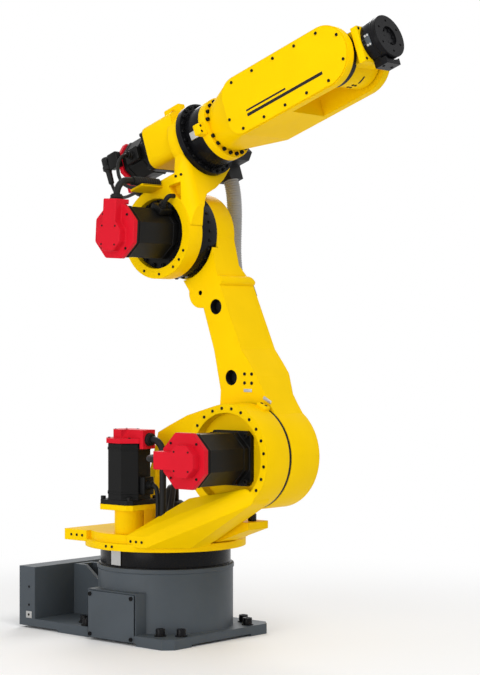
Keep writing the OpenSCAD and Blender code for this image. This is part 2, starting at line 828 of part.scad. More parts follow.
module forearm_casting() {
    body_y = [-fork_half_w + cover_t, fork_half_w - cover_t];
    color("gold") fore_frame() difference() {
        union() {
            drum_x([fore_flange_back, fore_flange_back + fore_flange_t], fore_flange_r);
            hull() {
                drum_x([fore_flange_back, fore_flange_back + fore_flange_t + side_gap],
                    fore_flange_r - fore_neck_margin, $fn = hull_fn);
                for (s = sides) drum_y(fork_back + fork_corner, s * (fork_half_h - fork_corner), body_y,
                    fork_corner, $fn = hull_fn);
            }
            slab_y(body_y) fork_outline(0);
        }
        block([wrist_reach - fork_slot_back, wrist_reach + fork_half_h + overrun], [-fork_inner, fork_inner],
            [-fork_half_h - overrun, fork_half_h + overrun]);
    }
}

module forearm_bearing_ring() {
    color("#1c1c1e") fore_frame()
        drum_x([roll_ring_back + roll_ring_t + run_gap, fore_flange_back], bearing_r);
}

module forearm_cover(y) {
    color("gold") fore_frame() slab_y(y) fork_outline(cover_inset);
}

module forearm_cover_right() {
    forearm_cover([-fork_half_w, -fork_half_w + cover_t]);
}

module forearm_cover_left() {
    forearm_cover([fork_half_w - cover_t, fork_half_w]);
}

module wrist_casting() {
    neck = [-wrist_neck_half, wrist_neck_half];
    color("gold") wrist_frame() {
        drum_y(0, 0, [-hub_half_w, hub_half_w], hub_r);
        drum_y(0, 0, [-fork_inner + run_gap, fork_inner - run_gap], trunnion_r);
        block([0, wrist_plate_back], neck, neck);
        block([wrist_plate_back, drive_back], [-hub_half_w, hub_half_w], [wrist_plate_low, wrist_plate_top]);
    }
}

module tool_drive_housing() {
    color("#232327") wrist_frame() drum_x([drive_back, tool_reach - tool_t - run_gap], drive_r);
}

module wrist_guard_block() {
    color("#232327") wrist_frame() difference() {
        block([drive_back, drive_back + guard_len], [-guard_half_w, guard_half_w], [guard_low, 0]);
        drum_x([drive_back - overrun, tool_reach], drive_r);
        drum_x([tool_reach - tool_t - side_gap, tool_reach], tool_r + side_gap);
    }
}

module tool_flange() {
    color("#1c1c1e") wrist_frame() difference() {
        drum_x([tool_reach - tool_t, tool_reach], tool_r);
        drum_x([tool_reach - pilot_d, tool_reach + overrun], pilot_r);
        for (i = [0:tool_holes - 1]) rotate([i * 360 / tool_holes, 0, 0]) translate([0, 0, tool_pcd / 2])
            drum_x([tool_reach - tool_t - overrun, tool_reach + overrun], tool_hole_r);
    }
}

base_casting();
base_side_cover();
waist_reducer_ring();
turret_casting();
waist_motor_seat();
waist_motor_body();
waist_motor_cap();
waist_motor_cable();
shoulder_motor_body();
shoulder_motor_cap();
shoulder_motor_cable();
shoulder_reducer_ring();
shoulder_stop_bumper();
turntable_pointer();
lower_arm_casting();
shoulder_end_cover();
lower_hose_clamp();
upper_arm_casting();
lifting_eye();
elbow_reducer_ring();
elbow_motor_flange();
elbow_motor_body();
elbow_motor_cap();
elbow_motor_cable();
roll_motor_body();
roll_motor_cap();
roll_motor_cable();
roll_reducer_ring();
cable_bracket();
upper_hose_clamp();
conduit_hose();
forearm_casting();
forearm_bearing_ring();
forearm_cover_right();
forearm_cover_left();
wrist_casting();
tool_drive_housing();
wrist_guard_block();
tool_flange();
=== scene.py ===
import json
import math
from collections import namedtuple

import bmesh
import bpy
from mathutils import Matrix, Vector


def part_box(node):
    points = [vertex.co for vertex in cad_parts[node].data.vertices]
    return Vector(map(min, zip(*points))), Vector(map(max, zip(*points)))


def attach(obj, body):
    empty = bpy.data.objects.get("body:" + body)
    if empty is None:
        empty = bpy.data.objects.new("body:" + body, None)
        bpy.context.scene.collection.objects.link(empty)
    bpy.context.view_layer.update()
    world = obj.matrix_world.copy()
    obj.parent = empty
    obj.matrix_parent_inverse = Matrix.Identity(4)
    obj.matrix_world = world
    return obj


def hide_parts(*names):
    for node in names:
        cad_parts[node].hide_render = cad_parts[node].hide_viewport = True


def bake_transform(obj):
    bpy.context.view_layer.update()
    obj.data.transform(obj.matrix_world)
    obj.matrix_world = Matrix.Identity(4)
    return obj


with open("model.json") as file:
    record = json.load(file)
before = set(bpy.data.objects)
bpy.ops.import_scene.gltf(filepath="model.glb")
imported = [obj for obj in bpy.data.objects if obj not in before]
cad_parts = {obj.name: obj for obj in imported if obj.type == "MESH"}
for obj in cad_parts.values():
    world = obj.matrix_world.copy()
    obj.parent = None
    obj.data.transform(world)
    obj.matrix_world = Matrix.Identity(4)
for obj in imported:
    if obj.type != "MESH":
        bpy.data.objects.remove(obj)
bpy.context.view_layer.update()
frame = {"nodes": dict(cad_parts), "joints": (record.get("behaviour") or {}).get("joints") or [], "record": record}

# Lengths are in metres and named angles in degrees. A screw's size is the radius and height of its head.
# A profile is a list of radii and heights, which is revolved about the Z axis of its place.

# Frames of the moving bodies at rest, worked out from the joints

JOINTS = {j["name"]: j for j in frame["joints"]}
SHOULDER = Vector(JOINTS["j2_swing"]["pos_m"])
ELBOW = Vector(JOINTS["j3_swing"]["pos_m"])
WRIST = Vector(JOINTS["j5_bend"]["pos_m"])
TOOL = Vector(JOINTS["j6_turn"]["pos_m"])
ROLL_AXIS = Vector(JOINTS["j4_roll"]["axis"]).normalized()
SIDE_AXIS = Vector((0, 1, 0))
LOWER_LEN = (ELBOW - SHOULDER).length
WRIST_REACH = (WRIST - ELBOW).dot(ROLL_AXIS)
TOOL_REACH = (TOOL - WRIST).dot(ROLL_AXIS)


def axes_frame(origin, x_axis, z_axis):
    """Matrix of a frame with the arm's side as its Y axis."""
    columns = (x_axis, SIDE_AXIS, z_axis, origin)
    return Matrix([[c[row] for c in columns] for row in range(3)] + [[0, 0, 0, 1]])


def shift(x, y, z):
    """Matrix of a move."""
    return Matrix.Translation((x, y, z))


def spin(angle, axis):
    """Matrix of a turn about the X, Y or Z axis."""
    return Matrix.Rotation(math.radians(angle), 4, axis)


ALONG_LOWER = (ELBOW - SHOULDER).normalized()
LOWER = axes_frame(SHOULDER, SIDE_AXIS.cross(ALONG_LOWER), ALONG_LOWER)
ACROSS_FORE = ROLL_AXIS.cross(SIDE_AXIS)
ELBOW_FRAME = axes_frame(ELBOW, ROLL_AXIS, ACROSS_FORE)
FORE = axes_frame(WRIST - ROLL_AXIS * WRIST_REACH, ROLL_AXIS, ACROSS_FORE)
HAND = axes_frame(WRIST, ROLL_AXIS, ACROSS_FORE)
WORLD = Matrix.Identity(4)
SHOULDER_FRAME = Matrix.Translation(SHOULDER)

RIGHT = Vector((0, -1, 0))
LEFT = Vector((0, 1, 0))
UP = Vector((0, 0, 1))
DOWN = Vector((0, 0, -1))
FORWARD = Vector((1, 0, 0))
BACK = Vector((-1, 0, 0))


# Materials

RAMP_ENDS = (0.3, 0.7)
COLOUR_PATCHES = 7.0
GLOSS_PATCHES = 45.0
GLOSS_DETAIL = 5.0
GLOSS_SHARES = (0.85, 1.15)
PEEL_DETAIL = 2.0
PEEL_DEPTH = 0.0006
EDGE_SAMPLES = 4
BRUSH_STRETCH = (40.0, 40.0, 900.0)
BRUSH_SCALE = 3.0
BRUSH_DARK_SHARE = 0.8
BRUSH_SHARES = (0.8, 1.3)
BRUSH_BUMP = 0.1
BRUSH_DEPTH = 0.0003


def new_material(name):
    """Material with its node tree and its shader."""
    material = bpy.data.materials.new(name)
    material.use_nodes = True
    tree = material.node_tree
    return material, tree, tree.nodes["Principled BSDF"]


def noise(tree, scale, detail=3.0):
    """Noise over the object's own coordinates."""
    place = tree.nodes.new("ShaderNodeTexCoord")
    texture = tree.nodes.new("ShaderNodeTexNoise")
    texture.inputs["Scale"].default_value = scale
    texture.inputs["Detail"].default_value = detail
    tree.links.new(place.outputs["Object"], texture.inputs["Vector"])
    return texture.outputs["Fac"]


def ramp(tree, value, dark, light):
    """Colour between two colours, by a value."""
    node = tree.nodes.new("ShaderNodeValToRGB")
    for element, at, colour in zip(node.color_ramp.elements, RAMP_ENDS, (dark, light)):
        element.position = at
        element.color = (*colour, 1)
    tree.links.new(value, node.inputs["Fac"])
    return node.outputs["Color"]


def spread(tree, value, low, high):
    """Number between two numbers, by a value."""
    node = tree.nodes.new("ShaderNodeMapRange")
    node.inputs["To Min"].default_value = low
    node.inputs["To Max"].default_value = high
    tree.links.new(value, node.inputs["Value"])
    return node.outputs["Result"]


def bump(tree, shader, height, strength, distance, edge=0.0):
    """Bump on the surface; edge is the radius that softens sharp edges in the shading."""
    node = tree.nodes.new("ShaderNodeBump")
    node.inputs["Strength"].default_value = strength
    node.inputs["Distance"].default_value = distance
    tree.links.new(height, node.inputs["Height"])
    if edge:
        bevel = tree.nodes.new("ShaderNodeBevel")
        bevel.samples = EDGE_SAMPLES
        bevel.inputs["Radius"].default_value = edge
        tree.links.new(bevel.outputs["Normal"], node.inputs["Normal"])
    tree.links.new(node.outputs["Normal"], shader.inputs["Normal"])


def shaded(colour, factor):
    """Colour made darker or lighter."""
    return tuple(min(1.0, c * factor) for c in colour)


def coated(name, colour, roughness, peel_scale, peel, edge, vary, sheen):
    """Painted, coated or moulded surface: slight colour and gloss variation over a fine peel."""
    material, tree, shader = new_material(name)
    patches = noise(tree, COLOUR_PATCHES)
    tint = ramp(tree, patches, shaded(colour, 1 - vary), shaded(colour, 1 + vary / 2))
    tree.links.new(tint, shader.inputs["Base Color"])
    low, high = (roughness * share for share in GLOSS_SHARES)
    gloss = spread(tree, noise(tree, GLOSS_PATCHES, GLOSS_DETAIL), low, high)
    tree.links.new(gloss, shader.inputs["Roughness"])
    shader.inputs["Specular IOR Level"].default_value = sheen
    bump(tree, shader, noise(tree, peel_scale, PEEL_DETAIL), peel, PEEL_DEPTH, edge)
    return material


def brushed(name, colour, roughness):
    """Bare metal with fine lines along one direction."""
    material, tree, shader = new_material(name)
    place = tree.nodes.new("ShaderNodeTexCoord")
    stretch = tree.nodes.new("ShaderNodeMapping")
    stretch.inputs["Scale"].default_value = BRUSH_STRETCH
    lines = tree.nodes.new("ShaderNodeTexNoise")
    lines.inputs["Scale"].default_value = BRUSH_SCALE
    tree.links.new(place.outputs["Object"], stretch.inputs["Vector"])
    tree.links.new(stretch.outputs["Vector"], lines.inputs["Vector"])
    grain = lines.outputs["Fac"]
    tree.links.new(ramp(tree, grain, shaded(colour, BRUSH_DARK_SHARE), colour), shader.inputs["Base Color"])
    low, high = (roughness * share for share in BRUSH_SHARES)
    tree.links.new(spread(tree, grain, low, high), shader.inputs["Roughness"])
    shader.inputs["Metallic"].default_value = 1.0
    bump(tree, shader, grain, BRUSH_BUMP, BRUSH_DEPTH)
    return material


FINISHES = {
    "yellow_paint": dict(colour=(0.94, 0.60, 0.0), roughness=0.45, peel_scale=520.0, peel=0.08,
                         edge=0.004, vary=0.04, sheen=0.035),
    "gray_paint": dict(colour=(0.066, 0.079, 0.092), roughness=0.45, peel_scale=420.0, peel=0.14,
                       edge=0.003, vary=0.10, sheen=0.18),
    "black_metal": dict(colour=(0.006, 0.006, 0.007), roughness=0.27, peel_scale=300.0, peel=0.10,
                        edge=0.0015, vary=0.25, sheen=0.10),
    "motor_black": dict(colour=(0.006, 0.006, 0.006), roughness=0.38, peel_scale=700.0, peel=0.18,
                        edge=0.002, vary=0.2, sheen=0.13),
    "motor_red": dict(colour=(0.64, 0.008, 0.022), roughness=0.40, peel_scale=600.0, peel=0.12,
                      edge=0.003, vary=0.05, sheen=0.08),
    "cable_black": dict(colour=(0.008, 0.008, 0.008), roughness=0.55, peel_scale=800.0, peel=0.25,
                        edge=0.0, vary=0.25, sheen=0.2),
    "clamp_black": dict(colour=(0.009, 0.009, 0.010), roughness=0.5, peel_scale=600.0, peel=0.2,
                        edge=0.0015, vary=0.2, sheen=0.2),
    "hose_gray": dict(colour=(0.35, 0.35, 0.35), roughness=0.5, peel_scale=500.0, peel=0.2,
                      edge=0.0, vary=0.12, sheen=0.25),
}
MATERIALS = {name: coated(name, **look) for name, look in FINISHES.items()}
MATERIALS["bare_steel"] = brushed("bare_steel", (0.52, 0.52, 0.51), 0.35)


# Mesh helpers

FULL_TURN = 360.0
SCREW_SINK = 0.001
# Shares of a screw head's radius and height, over the ring at its foot
SCREW_SHARES = ((1.0, 0.88), (0.92, 1.0), (0.56, 1.0), (0.52, 0.45), (0.0, 0.40))
SOCKET_RINGS = (3, 4)
WASHER_SHARE = 0.14
WASHER_OUTER_SHARE = 1.3
WASHER_INNER_SHARE = 0.9
WASHER_SIDES = 32
CUP_RIM = 0.0015
ROUND_STEPS = 3
RIB_STEPS = 6
SMOOTH_ANGLE = 35.0
RIB_SMOOTH_ANGLE = 80.0
FINE_SIDES = 96
RING_SIDES = 64
THIN_SIDES = 12


def turned_to(normal):
    """Rotation that points a piece's Z axis along a direction."""
    return normal.to_track_quat("Z", "Y").to_matrix().to_4x4()


def seat(frame_matrix, point, normal):
    """Matrix of a place on a surface: Z stands out of it."""
    return frame_matrix @ Matrix.Translation(point) @ turned_to(Vector(normal))


def circle_point(centre, axis, radius, angle):
    """Point on a circle about an axis."""
    a = math.radians(angle)
    return Vector(centre) + turned_to(Vector(axis)) @ Vector((radius * math.cos(a), radius * math.sin(a), 0))


def ring_points(centre, axis, radius, count, start=0.0, sweep=FULL_TURN):
    """Evenly spaced points on a circle about an axis, or on a part of it."""
    step = sweep / count if sweep >= FULL_TURN else sweep / (count - 1)
    return [circle_point(centre, axis, radius, start + i * step) for i in range(count)]


def offset_profile(radius, height, steps):
    """Profile given by steps from a radius and a height."""
    return [(radius + r, height + h) for r, h in steps]


def add_lathe(bm, place, profile, sides=24, hexed=()):
    """Revolves a profile about Z; the rings in hexed are six-sided."""
    rings = []
    for index, (radius, height) in enumerate(profile):
        if radius == 0:
            rings.append([bm.verts.new(place @ Vector((0, 0, height)))])
            continue
        ring = []
        for k in range(sides):
            a = 2 * math.pi * k / sides
            flat = math.cos(math.pi / 6) / math.cos((a % (math.pi / 3)) - math.pi / 6)
            r = radius * (flat if index in hexed else 1)
            ring.append(bm.verts.new(place @ Vector((r * math.cos(a), r * math.sin(a), height))))
        rings.append(ring)
    for low, high in zip(rings, rings[1:]):
        for k in range(sides):
            n = (k + 1) % sides
            corners = [low[k % len(low)], low[n % len(low)], high[n % len(high)], high[k % len(high)]]
            unique = [c for i, c in enumerate(corners) if c not in corners[:i]]
            if len(unique) > 2:
                bm.faces.new(unique)


def add_socket_screw(bm, place, radius, height):
    """Socket-head cap screw with a chamfered head and a six-sided socket."""
    head = [(radius * r, height * h) for r, h in SCREW_SHARES]
    add_lathe(bm, place, [(radius, -SCREW_SINK), *head], hexed=SOCKET_RINGS)


def add_washer_screw(bm, place, radius, height):
    """Socket-head cap screw on a round washer."""
    washer = height * WASHER_SHARE
    outer = radius * WASHER_OUTER_SHARE
    add_lathe(bm, place, [(outer, 0), (outer, washer), (radius * WASHER_INNER_SHARE, washer)], WASHER_SIDES)
    add_socket_screw(bm, place @ shift(0, 0, washer), radius, height - washer)


def add_box(bm, place, size, bevel=0.0):
    """Box about the middle of a place, with rounded edges where bevel is given."""
    made = bmesh.ops.create_cube(bm, size=1.0, matrix=place @ Matrix.Diagonal((*size, 1)))
    if bevel:
        edges = {e for v in made["verts"] for e in v.link_edges}
        bmesh.ops.bevel(bm, geom=list(edges), offset=bevel, segments=ROUND_STEPS, affect="EDGES", profile=0.5)


def add_tube(bm, points, radii, sides=16):
    """Round tube along points, with a radius at each of them."""
    rings = []
    side = None
    for i, point in enumerate(points):
        way = (points[min(i + 1, len(points) - 1)] - points[max(i - 1, 0)]).normalized()
        side = way.orthogonal().normalized() if side is None else (side - way * side.dot(way)).normalized()
        other = way.cross(side)
        ring = []
        for k in range(sides):
            a = 2 * math.pi * k / sides
            ring.append(bm.verts.new(point + radii[i] * (math.cos(a) * side + math.sin(a) * other)))
        rings.append(ring)
    for low, high in zip(rings, rings[1:]):
        for k in range(sides):
            n = (k + 1) % sides
            bm.faces.new((low[k], low[n], high[n], high[k]))
    bm.faces.new(reversed(rings[0]))
    bm.faces.new(rings[-1])


def add_shade_cup(bm, place, radius, depth):
    """Painted shade in a hole: a dark wall and floor below the surface."""
    add_lathe(bm, place, [(radius, -CUP_RIM), (radius, -depth), (0, -depth)])


def bend_points(start, first, second, end, steps=24):
    """Points along a smooth curve that leaves its ends towards the two middle points."""
    points = []
    for i in range(steps + 1):
        t = i / steps
        points.append((1 - t) ** 3 * start + 3 * (1 - t) ** 2 * t * first
                      + 3 * (1 - t) * t * t * second + t ** 3 * end)
    return points


def ribbed(radius, depth, ribs):
    """Radii along a ribbed tube, which go from the radius down by the depth and back in each rib."""
    steps = ribs * RIB_STEPS
    return [radius - depth / 2 * (1 - math.cos(2 * math.pi * i / RIB_STEPS)) for i in range(steps + 1)]


def piece(name, bm, body, slot, smooth=SMOOTH_ANGLE):
    """Makes an object of a mesh, with the slot's finish, riding on a body if one is given."""
    bmesh.ops.recalc_face_normals(bm, faces=bm.faces)
    mesh = bpy.data.meshes.new(name)
    bm.to_mesh(mesh)
    bm.free()
    mesh.shade_smooth()
    mesh.set_sharp_from_angle(angle=math.radians(smooth))
    mesh.materials.append(MATERIALS[slot])
    obj = bpy.data.objects.new(name, mesh)
    bpy.context.scene.collection.objects.link(obj)
    if body:
        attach(obj, body)
    return obj


def lathe_piece(name, body, slot, place, profile, sides):
    """Piece made of one revolved profile."""
    bm = bmesh.new()
    add_lathe(bm, place, profile, sides)
    piece(name, bm, body, slot)


def box_piece(name, body, slot, place, size, bevel):
    """Piece made of one box."""
    bm = bmesh.new()
    add_box(bm, place, size, bevel)
    piece(name, bm, body, slot)


def tube_piece(name, body, slot, route, radius, sides=16):
    """Piece made of one tube of even thickness."""
    bm = bmesh.new()
    add_tube(bm, route, [radius] * len(route), sides)
    piece(name, bm, body, slot)


def screws(name, body, places, size, slot="black_metal", head=add_socket_screw):
    """One joined piece with a screw at each place."""
    bm = bmesh.new()
    for place in places:
        head(bm, place, *size)
    piece(name, bm, body, slot)


# Finish of the carried-over solids

EDGE_WIDTHS = {"yellow_paint": 0.005, "gray_paint": 0.004, "black_metal": 0.0015, "motor_black": 0.003,
               "motor_red": 0.004, "clamp_black": 0.002, "bare_steel": 0.0004}
EDGE_ANGLE = 32.0
WELD_DISTANCE = 0.00002


def finish_nodes():
    """Gives each solid its slot's material and small round edges."""
    for entry in frame["record"]["subparts"]:
        obj = frame["nodes"][entry["node"]]
        slot = entry["material_slot"]
        obj.data.materials.clear()
        obj.data.materials.append(MATERIALS[slot])
        weld = obj.modifiers.new("weld", "WELD")
        weld.merge_threshold = WELD_DISTANCE
        if slot in EDGE_WIDTHS:
            bevel = obj.modifiers.new("bevel", "BEVEL")
            bevel.width = EDGE_WIDTHS[slot]
            bevel.segments = ROUND_STEPS
            bevel.limit_method = "ANGLE"
            bevel.angle_limit = math.radians(EDGE_ANGLE)
            bevel.use_clamp_overlap = True
            bevel.harden_normals = False


# Base

PLATE_TOP = 0.034
ANCHOR_CORNERS = ((0.224, 0.162), (0.170, 0.203))
ANCHOR_BOLT = (0.0155, 0.024)
COVER_INSET = 0.012
COVER_SCREW = (0.007, 0.005)
PEDESTAL_R = 0.227
PEDESTAL_TOP = 0.241
LIP_STEPS = ((-0.004, 0.001), (0.002, 0.001), (0.003, -0.002), (0.003, -0.012), (-0.001, -0.016))
SEAL_STEPS = ((-0.001, 0), (0.004, 0.0005), (0.004, 0.005), (-0.001, 0.0065))
UPRIGHT_X = -0.433
UPRIGHT_SCREWS_Z = (0.142, 0.080)
UPRIGHT_SCREW = (0.0042, 0.0012)
TAIL_SIDE = -0.225
EARTH_PAD_Z = 0.0466
EARTH_PAD_SIZE = (0.028, 0.002, 0.023)
EARTH_PAD_FACE = TAIL_SIDE - 0.0015
EARTH_PAD_EDGE = 0.0005


def base_details():
    """Anchor bolts, side cover screws, and the lip and seal round the pedestal's top."""
    places = [seat(WORLD, (x * i, y * j, PLATE_TOP), UP)
              for x, y in ANCHOR_CORNERS for i in (-1, 1) for j in (-1, 1)]
    screws("anchor_bolts", "base", places, ANCHOR_BOLT, head=add_washer_screw)
    low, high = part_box("base_side_cover")
    places = [seat(WORLD, (x, low.y, z), RIGHT)
              for x in (low.x + COVER_INSET, high.x - COVER_INSET)
              for z in (low.z + COVER_INSET, high.z - COVER_INSET)]
    screws("side_cover_screws", "base", places, COVER_SCREW)
    lip = offset_profile(PEDESTAL_R, PEDESTAL_TOP, LIP_STEPS)
    lathe_piece("pedestal_lip", "base", "gray_paint", WORLD, lip, FINE_SIDES)
    ring_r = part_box("waist_reducer_ring")[1].x
    seal = offset_profile(ring_r, PEDESTAL_TOP, SEAL_STEPS)
    lathe_piece("waist_seal_band", "base", "black_metal", WORLD, seal, FINE_SIDES)
    upright_end()


def upright_end():
    """Bare earth pad with its screw, and two more screws, on the right end of the rear upright."""
    middle = shift(UPRIGHT_X, EARTH_PAD_FACE + EARTH_PAD_SIZE[1] / 2, EARTH_PAD_Z)
    box_piece("earth_pad", "base", "bare_steel", middle, EARTH_PAD_SIZE, EARTH_PAD_EDGE)
    places = [seat(WORLD, (UPRIGHT_X, TAIL_SIDE, z), RIGHT) for z in UPRIGHT_SCREWS_Z]
    places.append(seat(WORLD, (UPRIGHT_X, EARTH_PAD_FACE, EARTH_PAD_Z), RIGHT))
    screws("upright_screws", "base", places, UPRIGHT_SCREW)


# Motors: each place's Z axis runs out of the seat along the motor, and its -X side carries the cap's tab.
# Flats is the width across flats, and bend is the radius in which the signal cable turns towards the seat.

Motor = namedtuple("Motor", "name body place flats length bend")

CAP_T = 0.016
CAP_COVER_T = 0.028
CAP_SCREW_SHARE = 0.31
CAP_SCREW = (0.004, 0.003)
CAP_COVER_X_SHARES = (-0.09, 0.25)
CAP_COVER_Y_SHARES = (-0.17, 0.17)
CAP_COVER_SCREW = (0.003, 0.0015)
TAB_OUT = 0.016
PLUG_Z = 0.013
PLUG_LEN = 0.016
PLUG_RING = ((0.016, 0), (0.0215, 0), (0.0215, 0.003), (0.019, 0.004), (0.0205, 0.005), (0.0205, 0.012),
             (0.0165, 0.013))
PLUG_SIDES = 40
TIE = ((0.0105, -0.0025), (0.0125, -0.0025), (0.0125, 0.0025), (0.0105, 0.0025))
TIE_Z = 0.055
TIE_SHARE = 0.62
BODY_INSET = 0.006
BODY_SIDES = 8
BODY_BAND = ((-0.001, 0), (0.002, 0.001), (0.002, 0.007), (-0.001, 0.008))
BAND_FROM_SEAT = 0.034
BAND_FROM_CAP = 0.022
FLANGE_T = 0.016
FLANGE_SCREW_INSET = 0.015
FLANGE_SCREW = (0.0085, 0.010)
LEAD_BLOCK = (0.022, 0.046, 0.058)
LEAD_BLOCK_Z = 0.062
LEAD_BLOCK_EDGE = 0.003
LEAD_Z = 0.064
LEAD_GLAND = ((0.015, 0), (0.015, 0.007), (0.012, 0.008), (0.012, 0.016), (0.009, 0.018))
LEAD_GLAND_END = 0.038
LEAD_START = 0.030
LEAD_OUT = 0.062
LEAD_TURN = 0.004
LEAD_R = 0.0075


def cable_run_x(motor):
    """Place across a motor of the straight run of its signal cable."""
    return -motor.flats / 2 - TAB_OUT - PLUG_LEN - motor.bend


def motor_details(motor, flange_screws=True):
    """Screws of a motor's flange and cap, bands on its body, its plug's knurled ring and its cable ties."""
    place, flats, length = motor.place, motor.flats, motor.length
    spots = []
    if flange_screws:
        reach = flats / 2 - FLANGE_SCREW_INSET
        spots += [(x, y, FLANGE_T, FLANGE_SCREW) for x in (-reach, reach) for y in (-reach, reach)]
    reach = CAP_SCREW_SHARE * flats
    spots += [(x, y, length + CAP_T, CAP_SCREW) for x in (-reach, reach) for y in (-reach, reach)]
    spots += [(x * flats, y * flats, length + CAP_T + CAP_COVER_T, CAP_COVER_SCREW)
              for x in CAP_COVER_X_SHARES for y in CAP_COVER_Y_SHARES]
    bm = bmesh.new()
    for x, y, z, size in spots:
        add_socket_screw(bm, seat(place, (x, y, z), UP), *size)
    half_side = math.pi / BODY_SIDES
    corner_r = (flats / 2 - BODY_INSET) / math.cos(half_side)
    octagon = place @ Matrix.Rotation(half_side, 4, "Z")
    for z in (BAND_FROM_SEAT, length - BAND_FROM_CAP):
        add_lathe(bm, octagon, offset_profile(corner_r, z, BODY_BAND), BODY_SIDES)
    piece(motor.name + "_motor_fittings", bm, motor.body, "motor_black")
    plug = bmesh.new()
    add_lathe(plug, seat(place, (-flats / 2 - TAB_OUT, 0, length + PLUG_Z), BACK), PLUG_RING, PLUG_SIDES)
    for z in (TIE_Z, length * TIE_SHARE):
        add_lathe(plug, place @ shift(cable_run_x(motor), 0, z), TIE)
    piece(motor.name + "_plug_ring", plug, motor.body, "cable_black")


def lead_connector(motor, angle):
    """Power connector on a motor's side; returns that side's frame, whose X axis points out of it."""
    side = motor.place @ spin(angle, "Z") @ shift(motor.flats / 2 - BODY_INSET, 0, 0)
    bm = bmesh.new()
    add_lathe(bm, seat(side, (LEAD_BLOCK[0], 0, LEAD_Z), FORWARD), LEAD_GLAND)
    add_box(bm, side @ shift(LEAD_BLOCK[0] / 2, 0, LEAD_BLOCK_Z), LEAD_BLOCK, LEAD_BLOCK_EDGE)
    piece(motor.name + "_lead_connector", bm, motor.body, "motor_black")
    return side


def motor_lead(motor, angle, end_z):
    """Power connector on a motor's side, and its lead bending back along the motor towards its seat."""
    side = lead_connector(motor, angle)
    stations = ((LEAD_START, LEAD_Z), (LEAD_OUT, LEAD_Z), (LEAD_OUT, LEAD_Z - LEAD_TURN), (LEAD_OUT, end_z))
    route = bend_points(*[side @ Vector((x, 0, z)) for x, z in stations])
    tube_piece(motor.name + "_lead", motor.body, "cable_black", route, LEAD_R)


# Turret

BOSS_FACE_Y = -0.148
BOSS_RING_R = 0.158
BOSS_SCREWS = 15
BOSS_SCREWS_FROM = -52
BOSS_SCREWS_SWEEP = 208
BOSS_SCREW = (0.005, 0.002)
BOSS_R = 0.171
BOSS_SEAT_Y = -0.114
DECK_TOP = 0.355
PAD_Z = 0.337
# Screws on the deck's pads: their places along X, and the sides' distance from the middle
PAD_SCREWS = (((-0.222, -0.196, -0.170), 0.225), ((0.084, 0.109, 0.134), 0.252))
RIM_R = 0.270
RIM_SCREWS_Z = 0.316
RIM_SCREW_ANGLES = (-92.4, -86.6)
FLUSH_SCREW = (0.0045, 0.002)
SEAM_Y = -0.0398
SEAM_W = 0.0103
SEAM_STEPS = ((-0.013, 0), (-0.001, 0.0005), (-0.001, SEAM_W), (-0.013, SEAM_W))
MARK_ANGLE = -67
MARK_OUT = 0.004
MARK_Y = -0.048
MARK_BLOCK = (0.016, 0.026, 0.040)
MARK_EDGE = 0.003
MARK_SCREWS_Z = (-0.0095, 0.0095)
MARK_SCREW = (0.0048, 0.0015)
BOOT_AT = Vector((0.016, 0.014, DECK_TOP))
BOOT_RING = ((0.050, -0.001), (0.050, 0.052), (0.047, 0.055), (0.036, 0.055))
BOOT = ((0.045, 0.0545), (0.045, 0.074), (0.041, 0.088), (0.033, 0.094), (0.028, 0.092), (0.028, 0.070),
        (0, 0.070))
# Each cable's start from the boot's foot, the pull of its arch upwards, and its end on the deck
BOOT_CABLES = (
    ((-0.014, 0.002, 0.072), 0.10, (0.046, -0.098, DECK_TOP)),
    ((0.010, -0.010, 0.072), 0.13, (0.078, -0.104, DECK_TOP)),
    ((0.006, 0.014, 0.072), 0.16, (0.112, -0.108, DECK_TOP)),
)
BOOT_CABLE_R = 0.0095
BOOT_CABLE_STEPS = 32
BOOT_CABLE_LEAN = 0.03
GLAND = ((0.0175, 0), (0.0175, 0.008), (0.014, 0.010), (0.014, 0.020), (0.009, 0.024))

WAIST_MOTOR = Motor("waist", "turret", shift(0.013, -0.187, 0.452) @ spin(180, "Z"), 0.150, 0.200, 0.046)
WAIST_LEAD_END = -0.096
SHOULDER_MOTOR = Motor("shoulder", "turret", SHOULDER_FRAME @ shift(0, BOSS_SEAT_Y, 0) @ spin(90, "X"),
                       0.174, 0.214, 0.070)
SHOULDER_LEAD_END = 0.0
TURRET_LEAD_ANGLE = 180


def turret_details():
    """Screws of the shoulder boss, the deck's pads and the rim, and the fittings of the two motors."""
    ring = ring_points((0, BOSS_FACE_Y, 0), RIGHT, BOSS_RING_R, BOSS_SCREWS,
                       start=BOSS_SCREWS_FROM, sweep=BOSS_SCREWS_SWEEP)
    screws("boss_screws", "turret", [seat(SHOULDER_FRAME, p, RIGHT) for p in ring], BOSS_SCREW)
    places = []
    for along, out_y in PAD_SCREWS:
        for x in along:
            places.append(seat(WORLD, (x, -out_y, PAD_Z), RIGHT))
            places.append(seat(WORLD, (x, out_y, PAD_Z), LEFT))
    for angle in RIM_SCREW_ANGLES:
        out = Vector((math.cos(math.radians(angle)), math.sin(math.radians(angle)), 0))
        places.append(seat(WORLD, out * RIM_R + Vector((0, 0, RIM_SCREWS_Z)), out))
    screws("deck_pad_screws", "turret", places, FLUSH_SCREW)
    motor_details(WAIST_MOTOR)
    motor_lead(WAIST_MOTOR, TURRET_LEAD_ANGLE, WAIST_LEAD_END)
    motor_details(SHOULDER_MOTOR)
    motor_lead(SHOULDER_MOTOR, TURRET_LEAD_ANGLE, SHOULDER_LEAD_END)
    seam_mark()
    waist_conduit()


